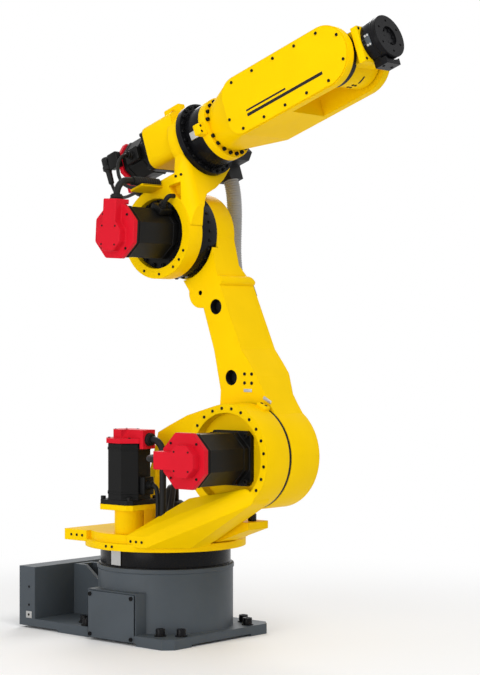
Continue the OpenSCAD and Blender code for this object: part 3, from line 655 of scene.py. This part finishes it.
def seam_mark():
    """Black band in the shoulder seam that paints the seam gap's shade, and a block with two screws beside it."""
    # The black band paints the shade inside the seam gap.
    place = seat(SHOULDER_FRAME, (0, SEAM_Y, 0), LEFT)
    seal = offset_profile(BOSS_R, 0, SEAM_STEPS)
    lathe_piece("shoulder_seam_shade_band", "turret", "black_metal", place, seal, FINE_SIDES)
    block = SHOULDER_FRAME @ spin(MARK_ANGLE, "Y") @ shift(BOSS_R + MARK_OUT, MARK_Y, 0)
    box_piece("seam_mark_block", "turret", "yellow_paint", block, MARK_BLOCK, MARK_EDGE)
    places = [seat(block, (MARK_BLOCK[0] / 2, 0, z), FORWARD) for z in MARK_SCREWS_Z]
    screws("seam_mark_screws", "turret", places, MARK_SCREW)


def waist_conduit():
    """Boot on a raised ring over the hollow waist axis, and its cables into glands on the deck."""
    place = Matrix.Translation(BOOT_AT)
    lathe_piece("boot_ring", "turret", "yellow_paint", place, BOOT_RING, RING_SIDES)
    lathe_piece("waist_boot", "turret", "cable_black", place, BOOT, RING_SIDES)
    cables = bmesh.new()
    for start, high, end in BOOT_CABLES:
        first = BOOT_AT + Vector(start)
        last = Vector(end)
        over = last + Vector((0, BOOT_CABLE_LEAN, high))
        route = bend_points(first, first + Vector((0, 0, high)), over, last, BOOT_CABLE_STEPS)
        add_tube(cables, route, [BOOT_CABLE_R] * len(route))
        add_lathe(cables, Matrix.Translation(last), GLAND)
    piece("boot_cables", cables, "turret", "cable_black")


# Lower arm

LOWER_FACE_Y = -0.028
ARM_SCREWS_X = (0.378, 0.408)
ARM_SCREWS_Z = (0.850, 0.879)
ARM_SCREW = (0.0055, 0.002)
END_COVER_RING_R = 0.120
END_COVER_SCREWS = 12
END_COVER_FROM = 15
# Painted shade in the arm's holes, as dark linings: place across and along the arm, radius and depth
ARM_HOLES = (
    (0.0222, 0.2648, 0.0247, 0.030),
    (0.0530, 0.5027, 0.0247, 0.030),
    (0.00855, 0.5729, 0.0078, 0.020),
)
# Bare plates at the seam: place along X and Z, turn and size
SEAM_PLATES = ((0.392, 0.826, 0, (0.034, 0.0014, 0.010)), (0.474, 0.797, 28, (0.036, 0.0014, 0.011)))
SEAM_PLATE_OUT = 0.0006
SEAM_PLATE_EDGE = 0.0003
LOWER_CLAMP_ACROSS = (-0.006, 0.038)
LOWER_CLAMP_ALONG = (0.558, 0.586)
CLAMP_SCREW = (0.005, 0.004)


def lower_arm_details():
    """Screws of the arm, its end cover and the hose's grip, dark linings that paint shade in the holes, and plates
    at the seam.
    """
    places = [seat(WORLD, (x, LOWER_FACE_Y, z), RIGHT) for x in ARM_SCREWS_X for z in ARM_SCREWS_Z]
    screws("lower_arm_screws", "lower_arm", places, ARM_SCREW)
    cover_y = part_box("shoulder_end_cover")[1].y
    ring = ring_points((0, cover_y, 0), LEFT, END_COVER_RING_R, END_COVER_SCREWS, END_COVER_FROM)
    screws("end_cover_screws", "lower_arm", [seat(SHOULDER_FRAME, p, LEFT) for p in ring], COVER_SCREW)
    # Near-black cups in the holes are painted shade.
    holes = bmesh.new()
    for across, along, radius, depth in ARM_HOLES:
        add_shade_cup(holes, seat(LOWER, (across, LOWER_FACE_Y, along), RIGHT), radius, depth)
    piece("hole_painted_shade", holes, "lower_arm", "clamp_black")
    plates = bmesh.new()
    for x, z, angle, size in SEAM_PLATES:
        add_box(plates, shift(x, LOWER_FACE_Y - SEAM_PLATE_OUT, z) @ spin(angle, "Y"), size, SEAM_PLATE_EDGE)
    piece("seam_mark_plates", plates, "lower_arm", "bare_steel")
    clamp_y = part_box("lower_hose_clamp")[1].y
    places = [seat(LOWER, (across, clamp_y, along), LEFT)
              for across in LOWER_CLAMP_ACROSS for along in LOWER_CLAMP_ALONG]
    screws("lower_clamp_screws", "lower_arm", places, CLAMP_SCREW)


# Upper arm

HOUSING_FACE_Y = -0.137
HOUSING_RING_R = 0.1335
HOUSING_ANGLES = (-45, -60, -75, -104, -134, 168)
CORNER_AT = Vector((0.126, -0.087, 0.146))
CORNER_R = 0.050
CORNER_ANGLES = (16, 37)
ELBOW_SEAT_Y = -0.103
ELBOW_FLANGE_Y = -0.119
ELBOW_FLANGE_RING_R = 0.104
ELBOW_FLANGE_SCREWS = 16
ELBOW_FLANGE_FROM = 11
ELBOW_FLANGE_SCREW = (0.0065, 0.008)
ELBOW_RING_Y = -0.030
ELBOW_RING_R = 0.1425
ELBOW_RING_SCREWS = 30
ELBOW_RING_FROM = 8
ELBOW_RING_SCREW = (0.0055, 0.009)
ROLL_RING_U = 0.196
ROLL_RING_R = 0.114
ROLL_RING_SCREWS = 24
ROLL_RING_FROM = 7
ROLL_RING_SCREW = (0.0055, 0.006)
BRACKET_Z = 0.14098
BRACKET_SCREWS_U = (0.034, 0.066)
BRACKET_SCREWS_Y = -0.152
BRACKET_SCREW = (0.006, 0.005)
UPPER_CLAMP_U = (0.102, 0.170)
UPPER_CLAMP_V = (-0.042, -0.014)

ELBOW_MOTOR = Motor("elbow", "upper_arm",
                    ELBOW_FRAME @ shift(0, ELBOW_SEAT_Y, 0) @ spin(90, "X") @ spin(247.5, "Z"),
                    0.174, 0.212, 0.046)
ELBOW_LEAD_ANGLE = 150
ELBOW_LEAD_END = 0.034
ROLL_MOTOR = Motor("roll", "upper_arm", FORE @ shift(0.012, -0.020, 0.036) @ spin(-90, "Y"),
                   0.146, 0.125, 0.024)
ROLL_LEAD_ANGLE = -90

SLEEVE_FROM = 0.040
SLEEVE_LEN = 0.118
SLEEVE_R = 0.0150
SLEEVE_RIB = 0.0024
SLEEVE_RIBS = 11
SLEEVE_SIDES = 20
ROLL_LEAD_R = 0.006
ROLL_LEAD_STEPS = 40
ROLL_LEAD_PULLS = (Vector((-0.052, -0.185, 0.305)), Vector((-0.075, -0.215, 0.175)))
ROLL_LEAD_END = Vector((0.030, -0.205, BRACKET_Z + ROLL_LEAD_R))

ROLL_PLUG_U = -0.170
ROLL_PLUG_Y = -0.105
ROLL_PLUG_TOP = 0.076
ROLL_PLUG = ((0, 0), (0.012, 0), (0.0155, 0.004), (0.0155, 0.030), (0.0175, 0.032), (0.0175, 0.044),
             (0.013, 0.046), (0.0105, 0.052), (0.0095, 0.092), (0.006, 0.096))
ROLL_PLUG_BLOCK_U = -0.131
ROLL_PLUG_BLOCK_V = 0.050
ROLL_PLUG_BLOCK = (0.044, 0.027, 0.054)
ROLL_PLUG_EDGE = 0.005
ROLL_PLUG_NECK_V = 0.058
ROLL_PLUG_NECK = ((0.0165, 0), (0.0165, 0.008), (0.013, 0.009), (0.013, 0.020))
PLUG_CABLE_R = 0.0055
PLUG_CABLE_STEPS = 32
PLUG_CABLE_START = Vector((ROLL_PLUG_U, ROLL_PLUG_Y, -0.014))
PLUG_CABLE_DROP = Vector((0.006, 0, -0.085))
PLUG_CABLE_END = Vector((0.036, -0.178, BRACKET_Z + PLUG_CABLE_R))
PLUG_CABLE_RUN = 0.09
CLIP_SIZE = (0.016, 0.048, 0.014)
CLIP_AT = (0.036, -0.1915, BRACKET_Z + CLIP_SIZE[2] / 2)
CLIP_EDGE = 0.003


def upper_arm_details():
    """Screws of the elbow housing, rings, bracket and hose clamp, and the fittings of the two motors."""
    places = [seat(ELBOW_FRAME, circle_point((0, HOUSING_FACE_Y, 0), RIGHT, HOUSING_RING_R, angle), RIGHT)
              for angle in HOUSING_ANGLES]
    for angle in CORNER_ANGLES:
        out = Vector((math.sin(math.radians(angle)), -math.cos(math.radians(angle)), 0))
        places.append(seat(ELBOW_FRAME, CORNER_AT + out * CORNER_R, out))
    screws("housing_screws", "upper_arm", places, FLUSH_SCREW)
    ring = ring_points((0, ELBOW_FLANGE_Y, 0), RIGHT, ELBOW_FLANGE_RING_R, ELBOW_FLANGE_SCREWS,
                       start=ELBOW_FLANGE_FROM)
    places = [seat(ELBOW_FRAME, p, RIGHT) for p in ring]
    screws("elbow_flange_screws", "upper_arm", places, ELBOW_FLANGE_SCREW)
    ring = ring_points((0, ELBOW_RING_Y, 0), RIGHT, ELBOW_RING_R, ELBOW_RING_SCREWS, ELBOW_RING_FROM)
    screws("elbow_ring_screws", "upper_arm", [seat(ELBOW_FRAME, p, RIGHT) for p in ring], ELBOW_RING_SCREW)
    ring = ring_points((ROLL_RING_U, 0, 0), FORWARD, ROLL_RING_R, ROLL_RING_SCREWS, ROLL_RING_FROM)
    screws("roll_ring_screws", "upper_arm", [seat(FORE, p, FORWARD) for p in ring], ROLL_RING_SCREW)
    places = [seat(ELBOW_FRAME, (u, BRACKET_SCREWS_Y, BRACKET_Z), UP) for u in BRACKET_SCREWS_U]
    screws("bracket_screws", "upper_arm", places, BRACKET_SCREW)
    motor_details(ELBOW_MOTOR, flange_screws=False)
    motor_lead(ELBOW_MOTOR, ELBOW_LEAD_ANGLE, ELBOW_LEAD_END)
    motor_details(ROLL_MOTOR)
    side = lead_connector(ROLL_MOTOR, ROLL_LEAD_ANGLE)
    upper_arm_cables(side @ Vector((LEAD_GLAND_END, 0, LEAD_Z)))
    roll_plug()
    clamp_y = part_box("upper_hose_clamp")[1].y
    places = [seat(FORE, (u, clamp_y, v), LEFT) for u in UPPER_CLAMP_U for v in UPPER_CLAMP_V]
    screws("upper_clamp_screws", "upper_arm", places, CLAMP_SCREW)


def upper_arm_cables(lead_start):
    """Ribbed sleeve on the elbow motor's cable, and the roll motor's lead looping down to the bracket."""
    steps = SLEEVE_RIBS * RIB_STEPS
    run_x = cable_run_x(ELBOW_MOTOR)
    points = [ELBOW_MOTOR.place @ Vector((run_x, 0, SLEEVE_FROM + SLEEVE_LEN * i / steps))
              for i in range(steps + 1)]
    sleeve = bmesh.new()
    add_tube(sleeve, points, ribbed(SLEEVE_R, SLEEVE_RIB, SLEEVE_RIBS), SLEEVE_SIDES)
    piece("elbow_cable_sleeve", sleeve, "upper_arm", "cable_black", smooth=RIB_SMOOTH_ANGLE)
    first, second = (ELBOW_FRAME @ pull for pull in ROLL_LEAD_PULLS)
    route = bend_points(lead_start, first, second, ELBOW_FRAME @ ROLL_LEAD_END, ROLL_LEAD_STEPS)
    tube_piece("roll_lead", "upper_arm", "cable_black", route, ROLL_LEAD_R)


def roll_plug():
    """Connector block on the right of the roll motor's cap, with a right-angle plug.

    The plug's cable drops to a clip on the bracket, which also holds the end of the motor's lead.
    """
    block = bmesh.new()
    back_u = ROLL_PLUG_BLOCK_U - ROLL_PLUG_BLOCK[0] / 2
    add_lathe(block, seat(FORE, (back_u, ROLL_PLUG_Y, ROLL_PLUG_NECK_V), BACK), ROLL_PLUG_NECK)
    middle = FORE @ shift(ROLL_PLUG_BLOCK_U, ROLL_PLUG_Y, ROLL_PLUG_BLOCK_V)
    add_box(block, middle, ROLL_PLUG_BLOCK, ROLL_PLUG_EDGE)
    piece("roll_plug_block", block, "upper_arm", "motor_black")
    plug = bmesh.new()
    add_lathe(plug, seat(FORE, (ROLL_PLUG_U, ROLL_PLUG_Y, ROLL_PLUG_TOP), DOWN), ROLL_PLUG)
    first = FORE @ PLUG_CABLE_START
    drop = FORE @ (PLUG_CABLE_START + PLUG_CABLE_DROP)
    last = ELBOW_FRAME @ PLUG_CABLE_END
    route = bend_points(first, drop, last - ROLL_AXIS * PLUG_CABLE_RUN, last, PLUG_CABLE_STEPS)
    add_tube(plug, route, [PLUG_CABLE_R] * len(route), THIN_SIDES)
    piece("roll_plug_cable", plug, "upper_arm", "cable_black")
    box_piece("bracket_clip", "upper_arm", "clamp_black", ELBOW_FRAME @ shift(*CLIP_AT), CLIP_SIZE, CLIP_EDGE)


# Forearm

COVER_Y = 0.111
COVER_EDGE = 0.079
COVER_PITCH = 0.091
COVER_ROWS = 5
NOSE_SCREW_R = 0.083
NOSE_SCREW_ANGLES = (-29, 29)
REAR_SCREW_U = 0.396
REAR_SCREW_V = -0.030
FORE_COVER_SCREW = (0.0050, 0.0025)
FLANGE_U = 0.290
FLANGE_BOLT_R = 0.0935
FLANGE_BOLTS = 20
FLANGE_BOLTS_FROM = 96
FLANGE_BOLT = (0.0066, 0.008)
TAB_BOLT = 5
TAB_AT = (FLANGE_U - 0.015, -0.120, -0.014)
TAB_SIZE = (0.026, 0.036, 0.036)
TAB_EDGE = 0.003
TAB_FRONT = FLANGE_U - 0.002
TAB_SCREWS_Y = -0.129
TAB_SCREWS_V = (-0.005, -0.024)
TAB_SCREW = (0.0042, 0.002)
BEARING_R = 0.104
BEARING_PLATE_ANGLE = 8
BEARING_PLATE_AT = (0.241, -BEARING_R - 0.006, 0)
BEARING_PLATE = (0.034, 0.014, 0.026)
BEARING_PLATE_EDGE = 0.001
# Stripes on the covers: ends along the forearm, place across it, and height
STRIPES = ((0.470, 0.790, -0.046, 0.010), (0.470, 0.640, -0.031, 0.006))
STRIPE_T = 0.0006
STRIPE_OUT = 0.0001


def forearm_details():
    """Screws of both covers and bolts of the flange, with a free place where the flange's tab stands."""
    places = []
    for side, normal in ((-1, RIGHT), (1, LEFT)):
        y = side * COVER_Y
        for i in range(COVER_ROWS):
            for v in (-COVER_EDGE, COVER_EDGE):
                places.append(seat(FORE, (WRIST_REACH - i * COVER_PITCH, y, v), normal))
        for angle in NOSE_SCREW_ANGLES:
            u = WRIST_REACH + NOSE_SCREW_R * math.cos(math.radians(angle))
            places.append(seat(FORE, (u, y, NOSE_SCREW_R * math.sin(math.radians(angle))), normal))
        places.append(seat(FORE, (REAR_SCREW_U, y, REAR_SCREW_V), normal))
    screws("forearm_cover_screws", "forearm", places, FORE_COVER_SCREW)
    ring = ring_points((FLANGE_U, 0, 0), FORWARD, FLANGE_BOLT_R, FLANGE_BOLTS, FLANGE_BOLTS_FROM)
    places = [seat(FORE, p, FORWARD) for i, p in enumerate(ring) if i != TAB_BOLT]
    screws("forearm_flange_bolts", "forearm", places, FLANGE_BOLT)
    flange_mark()
    cover_stripes()


def flange_mark():
    """Tab on the flange's rim with two screws, and the bare plate beside it."""
    box_piece("flange_mark_tab", "forearm", "yellow_paint", FORE @ shift(*TAB_AT), TAB_SIZE, TAB_EDGE)
    places = [seat(FORE, (TAB_FRONT, TAB_SCREWS_Y, v), FORWARD) for v in TAB_SCREWS_V]
    screws("flange_mark_screws", "forearm", places, TAB_SCREW)
    place = FORE @ spin(BEARING_PLATE_ANGLE, "X") @ shift(*BEARING_PLATE_AT)
    box_piece("flange_mark_plate", "forearm", "bare_steel", place, BEARING_PLATE, BEARING_PLATE_EDGE)


def cover_stripes():
    """Plain dark stripes along the lower part of both covers."""
    bm = bmesh.new()
    for side in (-1, 1):
        for start, end, v, height in STRIPES:
            place = FORE @ shift((start + end) / 2, side * (COVER_Y + STRIPE_OUT), v)
            add_box(bm, place, (end - start, STRIPE_T, height))
    piece("cover_stripes", bm, "forearm", "clamp_black")


# Wrist and tool flange

PLATE_FRONT = 0.124
PLATE_SCREWS_Y = (-0.065, 0.065)
PLATE_SCREWS_V = (-0.056, 0.044)
GUARD_LOW = -0.087
GUARD_SCREWS_U = 0.146
GUARD_SCREWS_Y = (-0.020, 0.020)
HUB_R = 0.080
HUB_SCREW_ANGLES = (-104, -90)
HUB_SCREWS_Y = (0.008, 0.021)
HUB_SLOT_FROM = -80
HUB_SLOT_STEPS = 22
HUB_SLOT_Y = 0.020
HUB_SLOT_R = 0.0030
HUB_SLOT_SINK = 0.0005
HUB_SEAL_R = 0.088
HUB_SEAL_NEAR = 0.046
HUB_SEAL_FAR = 0.0725
HUB_SEAL_EDGE = 0.002
DRIVE_R = 0.068
DRIVE_MARK_U = 0.1475
DRIVE_MARK_ANGLE = 6.0
DRIVE_PLATE = (0.0175, 0.004, 0.038)
DRIVE_PLATE_EDGE = 0.0008
DRIVE_PINS_U = (-0.0045, 0.0045)
DRIVE_PINS_V = (-0.0145, 0.0145)
DRIVE_PIN = (0.0036, 0.0012)
DRIVE_SCREWS_U = (-0.0180, -0.0118)
DRIVE_SCREWS_V = (-0.008, 0.006)
DRIVE_SCREW_SINK = 0.0002
DRIVE_SCREW = (0.0018, 0.001)
RIM_BAND = ((-0.001, 0), (0.001, 0.0008), (0.001, 0.0032), (-0.001, 0.004))
RIM_BANDS_BACK = (0.022, 0.006)
PILOT_DEPTH = 0.008
PILOT_RING_R = 0.0235
PILOT_SCREWS = 6
PILOT_SCREW = (0.0042, 0.004)


def hub_out(angle):
    """Direction out of the wrist hub at an angle above the forearm's axis."""
    return Vector((math.cos(math.radians(angle)), 0, math.sin(math.radians(angle))))


def wrist_details():
    """Screws and a dark strip of painted slot shade on the wrist, its seal with painted gap shade, and the
    fittings of its drive and of the tool flange.
    """
    places = [seat(HAND, (PLATE_FRONT, y, v), FORWARD) for y in PLATE_SCREWS_Y for v in PLATE_SCREWS_V]
    for angle in HUB_SCREW_ANGLES:
        out = hub_out(angle)
        places += [seat(HAND, out * HUB_R + Vector((0, y, 0)), out) for y in HUB_SCREWS_Y]
    places += [seat(HAND, (GUARD_SCREWS_U, y, GUARD_LOW), DOWN) for y in GUARD_SCREWS_Y]
    screws("wrist_screws", "wrist", places, FLUSH_SCREW)
    # A near-black tube along the hub paints the shade of a slot.
    middle = Vector((0, HUB_SLOT_Y, 0))
    route = [HAND @ (hub_out(HUB_SLOT_FROM + i) * (HUB_R - HUB_SLOT_SINK) + middle)
             for i in range(HUB_SLOT_STEPS)]
    tube_piece("hub_slot_painted_shade", "wrist", "clamp_black", route, HUB_SLOT_R, THIN_SIDES)
    hub_seal_and_gap_shade()
    drive_details()
    tool_flange_details()


def hub_seal_and_gap_shade():
    """Black seal ring at the right end of the wrist hub, beside the fork's leg; its black also paints the shade of
    the gap there.
    """
    foot_r = HUB_R - HUB_SEAL_EDGE
    inner_r = HUB_SEAL_R - HUB_SEAL_EDGE
    profile = [(foot_r, HUB_SEAL_NEAR), (inner_r, HUB_SEAL_NEAR), (HUB_SEAL_R, HUB_SEAL_NEAR + HUB_SEAL_EDGE),
               (HUB_SEAL_R, HUB_SEAL_FAR - HUB_SEAL_EDGE), (inner_r, HUB_SEAL_FAR), (foot_r, HUB_SEAL_FAR)]
    # The ring is a seal and also painted shade for the gap beside the fork's leg.
    lathe_piece("hub_seal_and_gap_shade", "wrist", "clamp_black", seat(HAND, (0, 0, 0), RIGHT), profile, FINE_SIDES)


def drive_details():
    """Small plate with a pin at each corner on the right of the drive housing, and four screws behind it."""
    mark = HAND @ spin(DRIVE_MARK_ANGLE, "X") @ shift(DRIVE_MARK_U, -DRIVE_R, 0)
    places = [seat(mark, (u, DRIVE_SCREW_SINK, v), RIGHT) for u in DRIVE_SCREWS_U for v in DRIVE_SCREWS_V]
    screws("drive_small_screws", "wrist", places, DRIVE_SCREW, slot="gray_paint")
    box_piece("drive_mark_plate", "wrist", "gray_paint", mark, DRIVE_PLATE, DRIVE_PLATE_EDGE)
    places = [seat(mark, (u, -DRIVE_PLATE[1] / 2, v), RIGHT) for u in DRIVE_PINS_U for v in DRIVE_PINS_V]
    screws("drive_mark_pins", "wrist", places, DRIVE_PIN, slot="bare_steel")


def tool_flange_details():
    """Bands on the tool flange's rim, and screws in its pilot bore."""
    bm = bmesh.new()
    for back in RIM_BANDS_BACK:
        add_lathe(bm, seat(HAND, (TOOL_REACH - back, 0, 0), FORWARD), offset_profile(DRIVE_R, 0, RIM_BAND),
                  RING_SIDES)
    for p in ring_points((TOOL_REACH - PILOT_DEPTH, 0, 0), FORWARD, PILOT_RING_R, PILOT_SCREWS):
        add_socket_screw(bm, seat(HAND, p, FORWARD), *PILOT_SCREW)
    piece("tool_flange_fittings", bm, "flange", "black_metal")


# Conduit hose, ribbed, bending between the two arms

HOSE_R = 0.026
HOSE_Y = 0.168
HOSE_RIB = 0.0022
HOSE_RIBS = 44
HOSE_SIDES = 24
GRIP_ACROSS = 0.016
GRIP_SHARE = 0.76
CLAMP_U = 0.114
CLAMP_V = -0.106
HOSE_PULL = 0.120


def hose_route(steps):
    """Smooth curve from the grip on the lower arm up to the clamp on the upper arm."""
    grip_along = GRIP_SHARE * LOWER_LEN
    low = LOWER @ Vector((GRIP_ACROSS, HOSE_Y, grip_along))
    low_pull = LOWER @ Vector((GRIP_ACROSS, HOSE_Y, grip_along + HOSE_PULL))
    top = FORE @ Vector((CLAMP_U, HOSE_Y, CLAMP_V))
    top_pull = FORE @ Vector((CLAMP_U, HOSE_Y, CLAMP_V - HOSE_PULL))
    return bend_points(low, low_pull, top_pull, top, steps)


def conduit_hose():
    """Ribbed hose in place of the plain solid one."""
    points = hose_route(HOSE_RIBS * RIB_STEPS)
    bm = bmesh.new()
    add_tube(bm, points, ribbed(HOSE_R, HOSE_RIB, HOSE_RIBS), HOSE_SIDES)
    hose = piece("conduit_hose_ribbed", bm, None, "hose_gray", smooth=RIB_SMOOTH_ANGLE)
    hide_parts("conduit_hose")
    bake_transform(hose)


# Camera, light and floor

CAMERA_AT = Vector((4.24086, -4.43904, 0.98796))
CAMERA_WAY = Vector((-0.66075, 0.75061, 0.00144))
CAMERA_LENS = 97.13
SENSOR = 36.0
WORLD_LIGHT = 0.62
# Each lamp's name, place, aim, size and power in watts
LAMPS = (
    ("key", (3.2, -1.6, 4.2), (0.2, 0, 1.0), 2.4, 80.0),
    ("fill", (0.3, -4.6, 1.1), (0.2, 0, 0.8), 3.0, 68.0),
    ("back", (-2.5, 3.0, 3.5), (0.2, 0, 1.0), 2.5, 60.0),
)
WHITE = (1, 1, 1, 1)
FLOOR_COLOUR = (0.92, 0.92, 0.92, 1)
FLOOR_ROUGHNESS = 0.9
FLOOR_HALF = 9.0
FLOOR_NEAR = 0.9
FLOOR_FAR = 2.4


def camera():
    """Camera at the photograph's viewing angle."""
    data = bpy.data.cameras.new("camera")
    data.sensor_width = SENSOR
    data.lens = CAMERA_LENS
    obj = bpy.data.objects.new("camera", data)
    obj.location = CAMERA_AT
    obj.rotation_euler = CAMERA_WAY.to_track_quat("-Z", "Y").to_euler()
    bpy.context.scene.collection.objects.link(obj)
    bpy.context.scene.camera = obj


def lamp(name, at, target, size, power):
    """Round soft lamp aimed at a point."""
    data = bpy.data.lights.new(name, "AREA")
    data.shape = "DISK"
    data.size = size
    data.energy = power
    obj = bpy.data.objects.new(name, data)
    obj.location = at
    obj.rotation_euler = (Vector(target) - Vector(at)).to_track_quat("-Z", "Y").to_euler()
    bpy.context.scene.collection.objects.link(obj)


def seen_rays(tree):
    """One for rays that show the background itself: camera, mirror and see-through rays."""
    path = tree.nodes.new("ShaderNodeLightPath")
    total = path.outputs["Is Camera Ray"]
    for name in ("Is Glossy Ray", "Is Transmission Ray"):
        either = tree.nodes.new("ShaderNodeMath")
        either.operation = "MAXIMUM"
        tree.links.new(total, either.inputs[0])
        tree.links.new(path.outputs[name], either.inputs[1])
        total = either.outputs["Value"]
    return total


def studio_light():
    """Even world light that shows as plain white, and three lamps."""
    world = bpy.data.worlds.new("studio")
    bpy.context.scene.world = world
    world.use_nodes = True
    tree = world.node_tree
    plain = tree.nodes["Background"]
    plain.inputs["Color"].default_value = WHITE
    plain.inputs["Strength"].default_value = WORLD_LIGHT
    seen = tree.nodes.new("ShaderNodeBackground")
    seen.inputs["Color"].default_value = WHITE
    mix = tree.nodes.new("ShaderNodeMixShader")
    tree.links.new(seen_rays(tree), mix.inputs["Fac"])
    tree.links.new(plain.outputs["Background"], mix.inputs[1])
    tree.links.new(seen.outputs["Background"], mix.inputs[2])
    tree.links.new(mix.outputs["Shader"], tree.nodes["World Output"].inputs["Surface"])
    for settings in LAMPS:
        lamp(*settings)


def floor():
    """Pale floor whose far part fades to plain white."""
    bm = bmesh.new()
    bmesh.ops.create_grid(bm, x_segments=1, y_segments=1, size=FLOOR_HALF)
    mesh = bpy.data.meshes.new("floor")
    bm.to_mesh(mesh)
    bm.free()
    material, tree, shader = new_material("floor")
    shader.inputs["Base Color"].default_value = FLOOR_COLOUR
    shader.inputs["Roughness"].default_value = FLOOR_ROUGHNESS
    place = tree.nodes.new("ShaderNodeTexCoord")
    distance = tree.nodes.new("ShaderNodeVectorMath")
    distance.operation = "LENGTH"
    tree.links.new(place.outputs["Object"], distance.inputs[0])
    fade = tree.nodes.new("ShaderNodeMapRange")
    fade.interpolation_type = "SMOOTHSTEP"
    fade.inputs["From Min"].default_value = FLOOR_NEAR
    fade.inputs["From Max"].default_value = FLOOR_FAR
    tree.links.new(distance.outputs["Value"], fade.inputs["Value"])
    seen = tree.nodes.new("ShaderNodeMath")
    seen.operation = "MULTIPLY"
    tree.links.new(fade.outputs["Result"], seen.inputs[0])
    tree.links.new(seen_rays(tree), seen.inputs[1])
    white = tree.nodes.new("ShaderNodeEmission")
    mix = tree.nodes.new("ShaderNodeMixShader")
    tree.links.new(seen.outputs["Value"], mix.inputs["Fac"])
    tree.links.new(shader.outputs["BSDF"], mix.inputs[1])
    tree.links.new(white.outputs["Emission"], mix.inputs[2])
    tree.links.new(mix.outputs["Shader"], tree.nodes["Material Output"].inputs["Surface"])
    mesh.materials.append(material)
    obj = bpy.data.objects.new("floor", mesh)
    bpy.context.scene.collection.objects.link(obj)


bpy.context.scene.view_settings.view_transform = "Standard"
camera()
studio_light()
floor()
finish_nodes()
base_details()
turret_details()
lower_arm_details()
upper_arm_details()
forearm_details()
wrist_details()
conduit_hose()
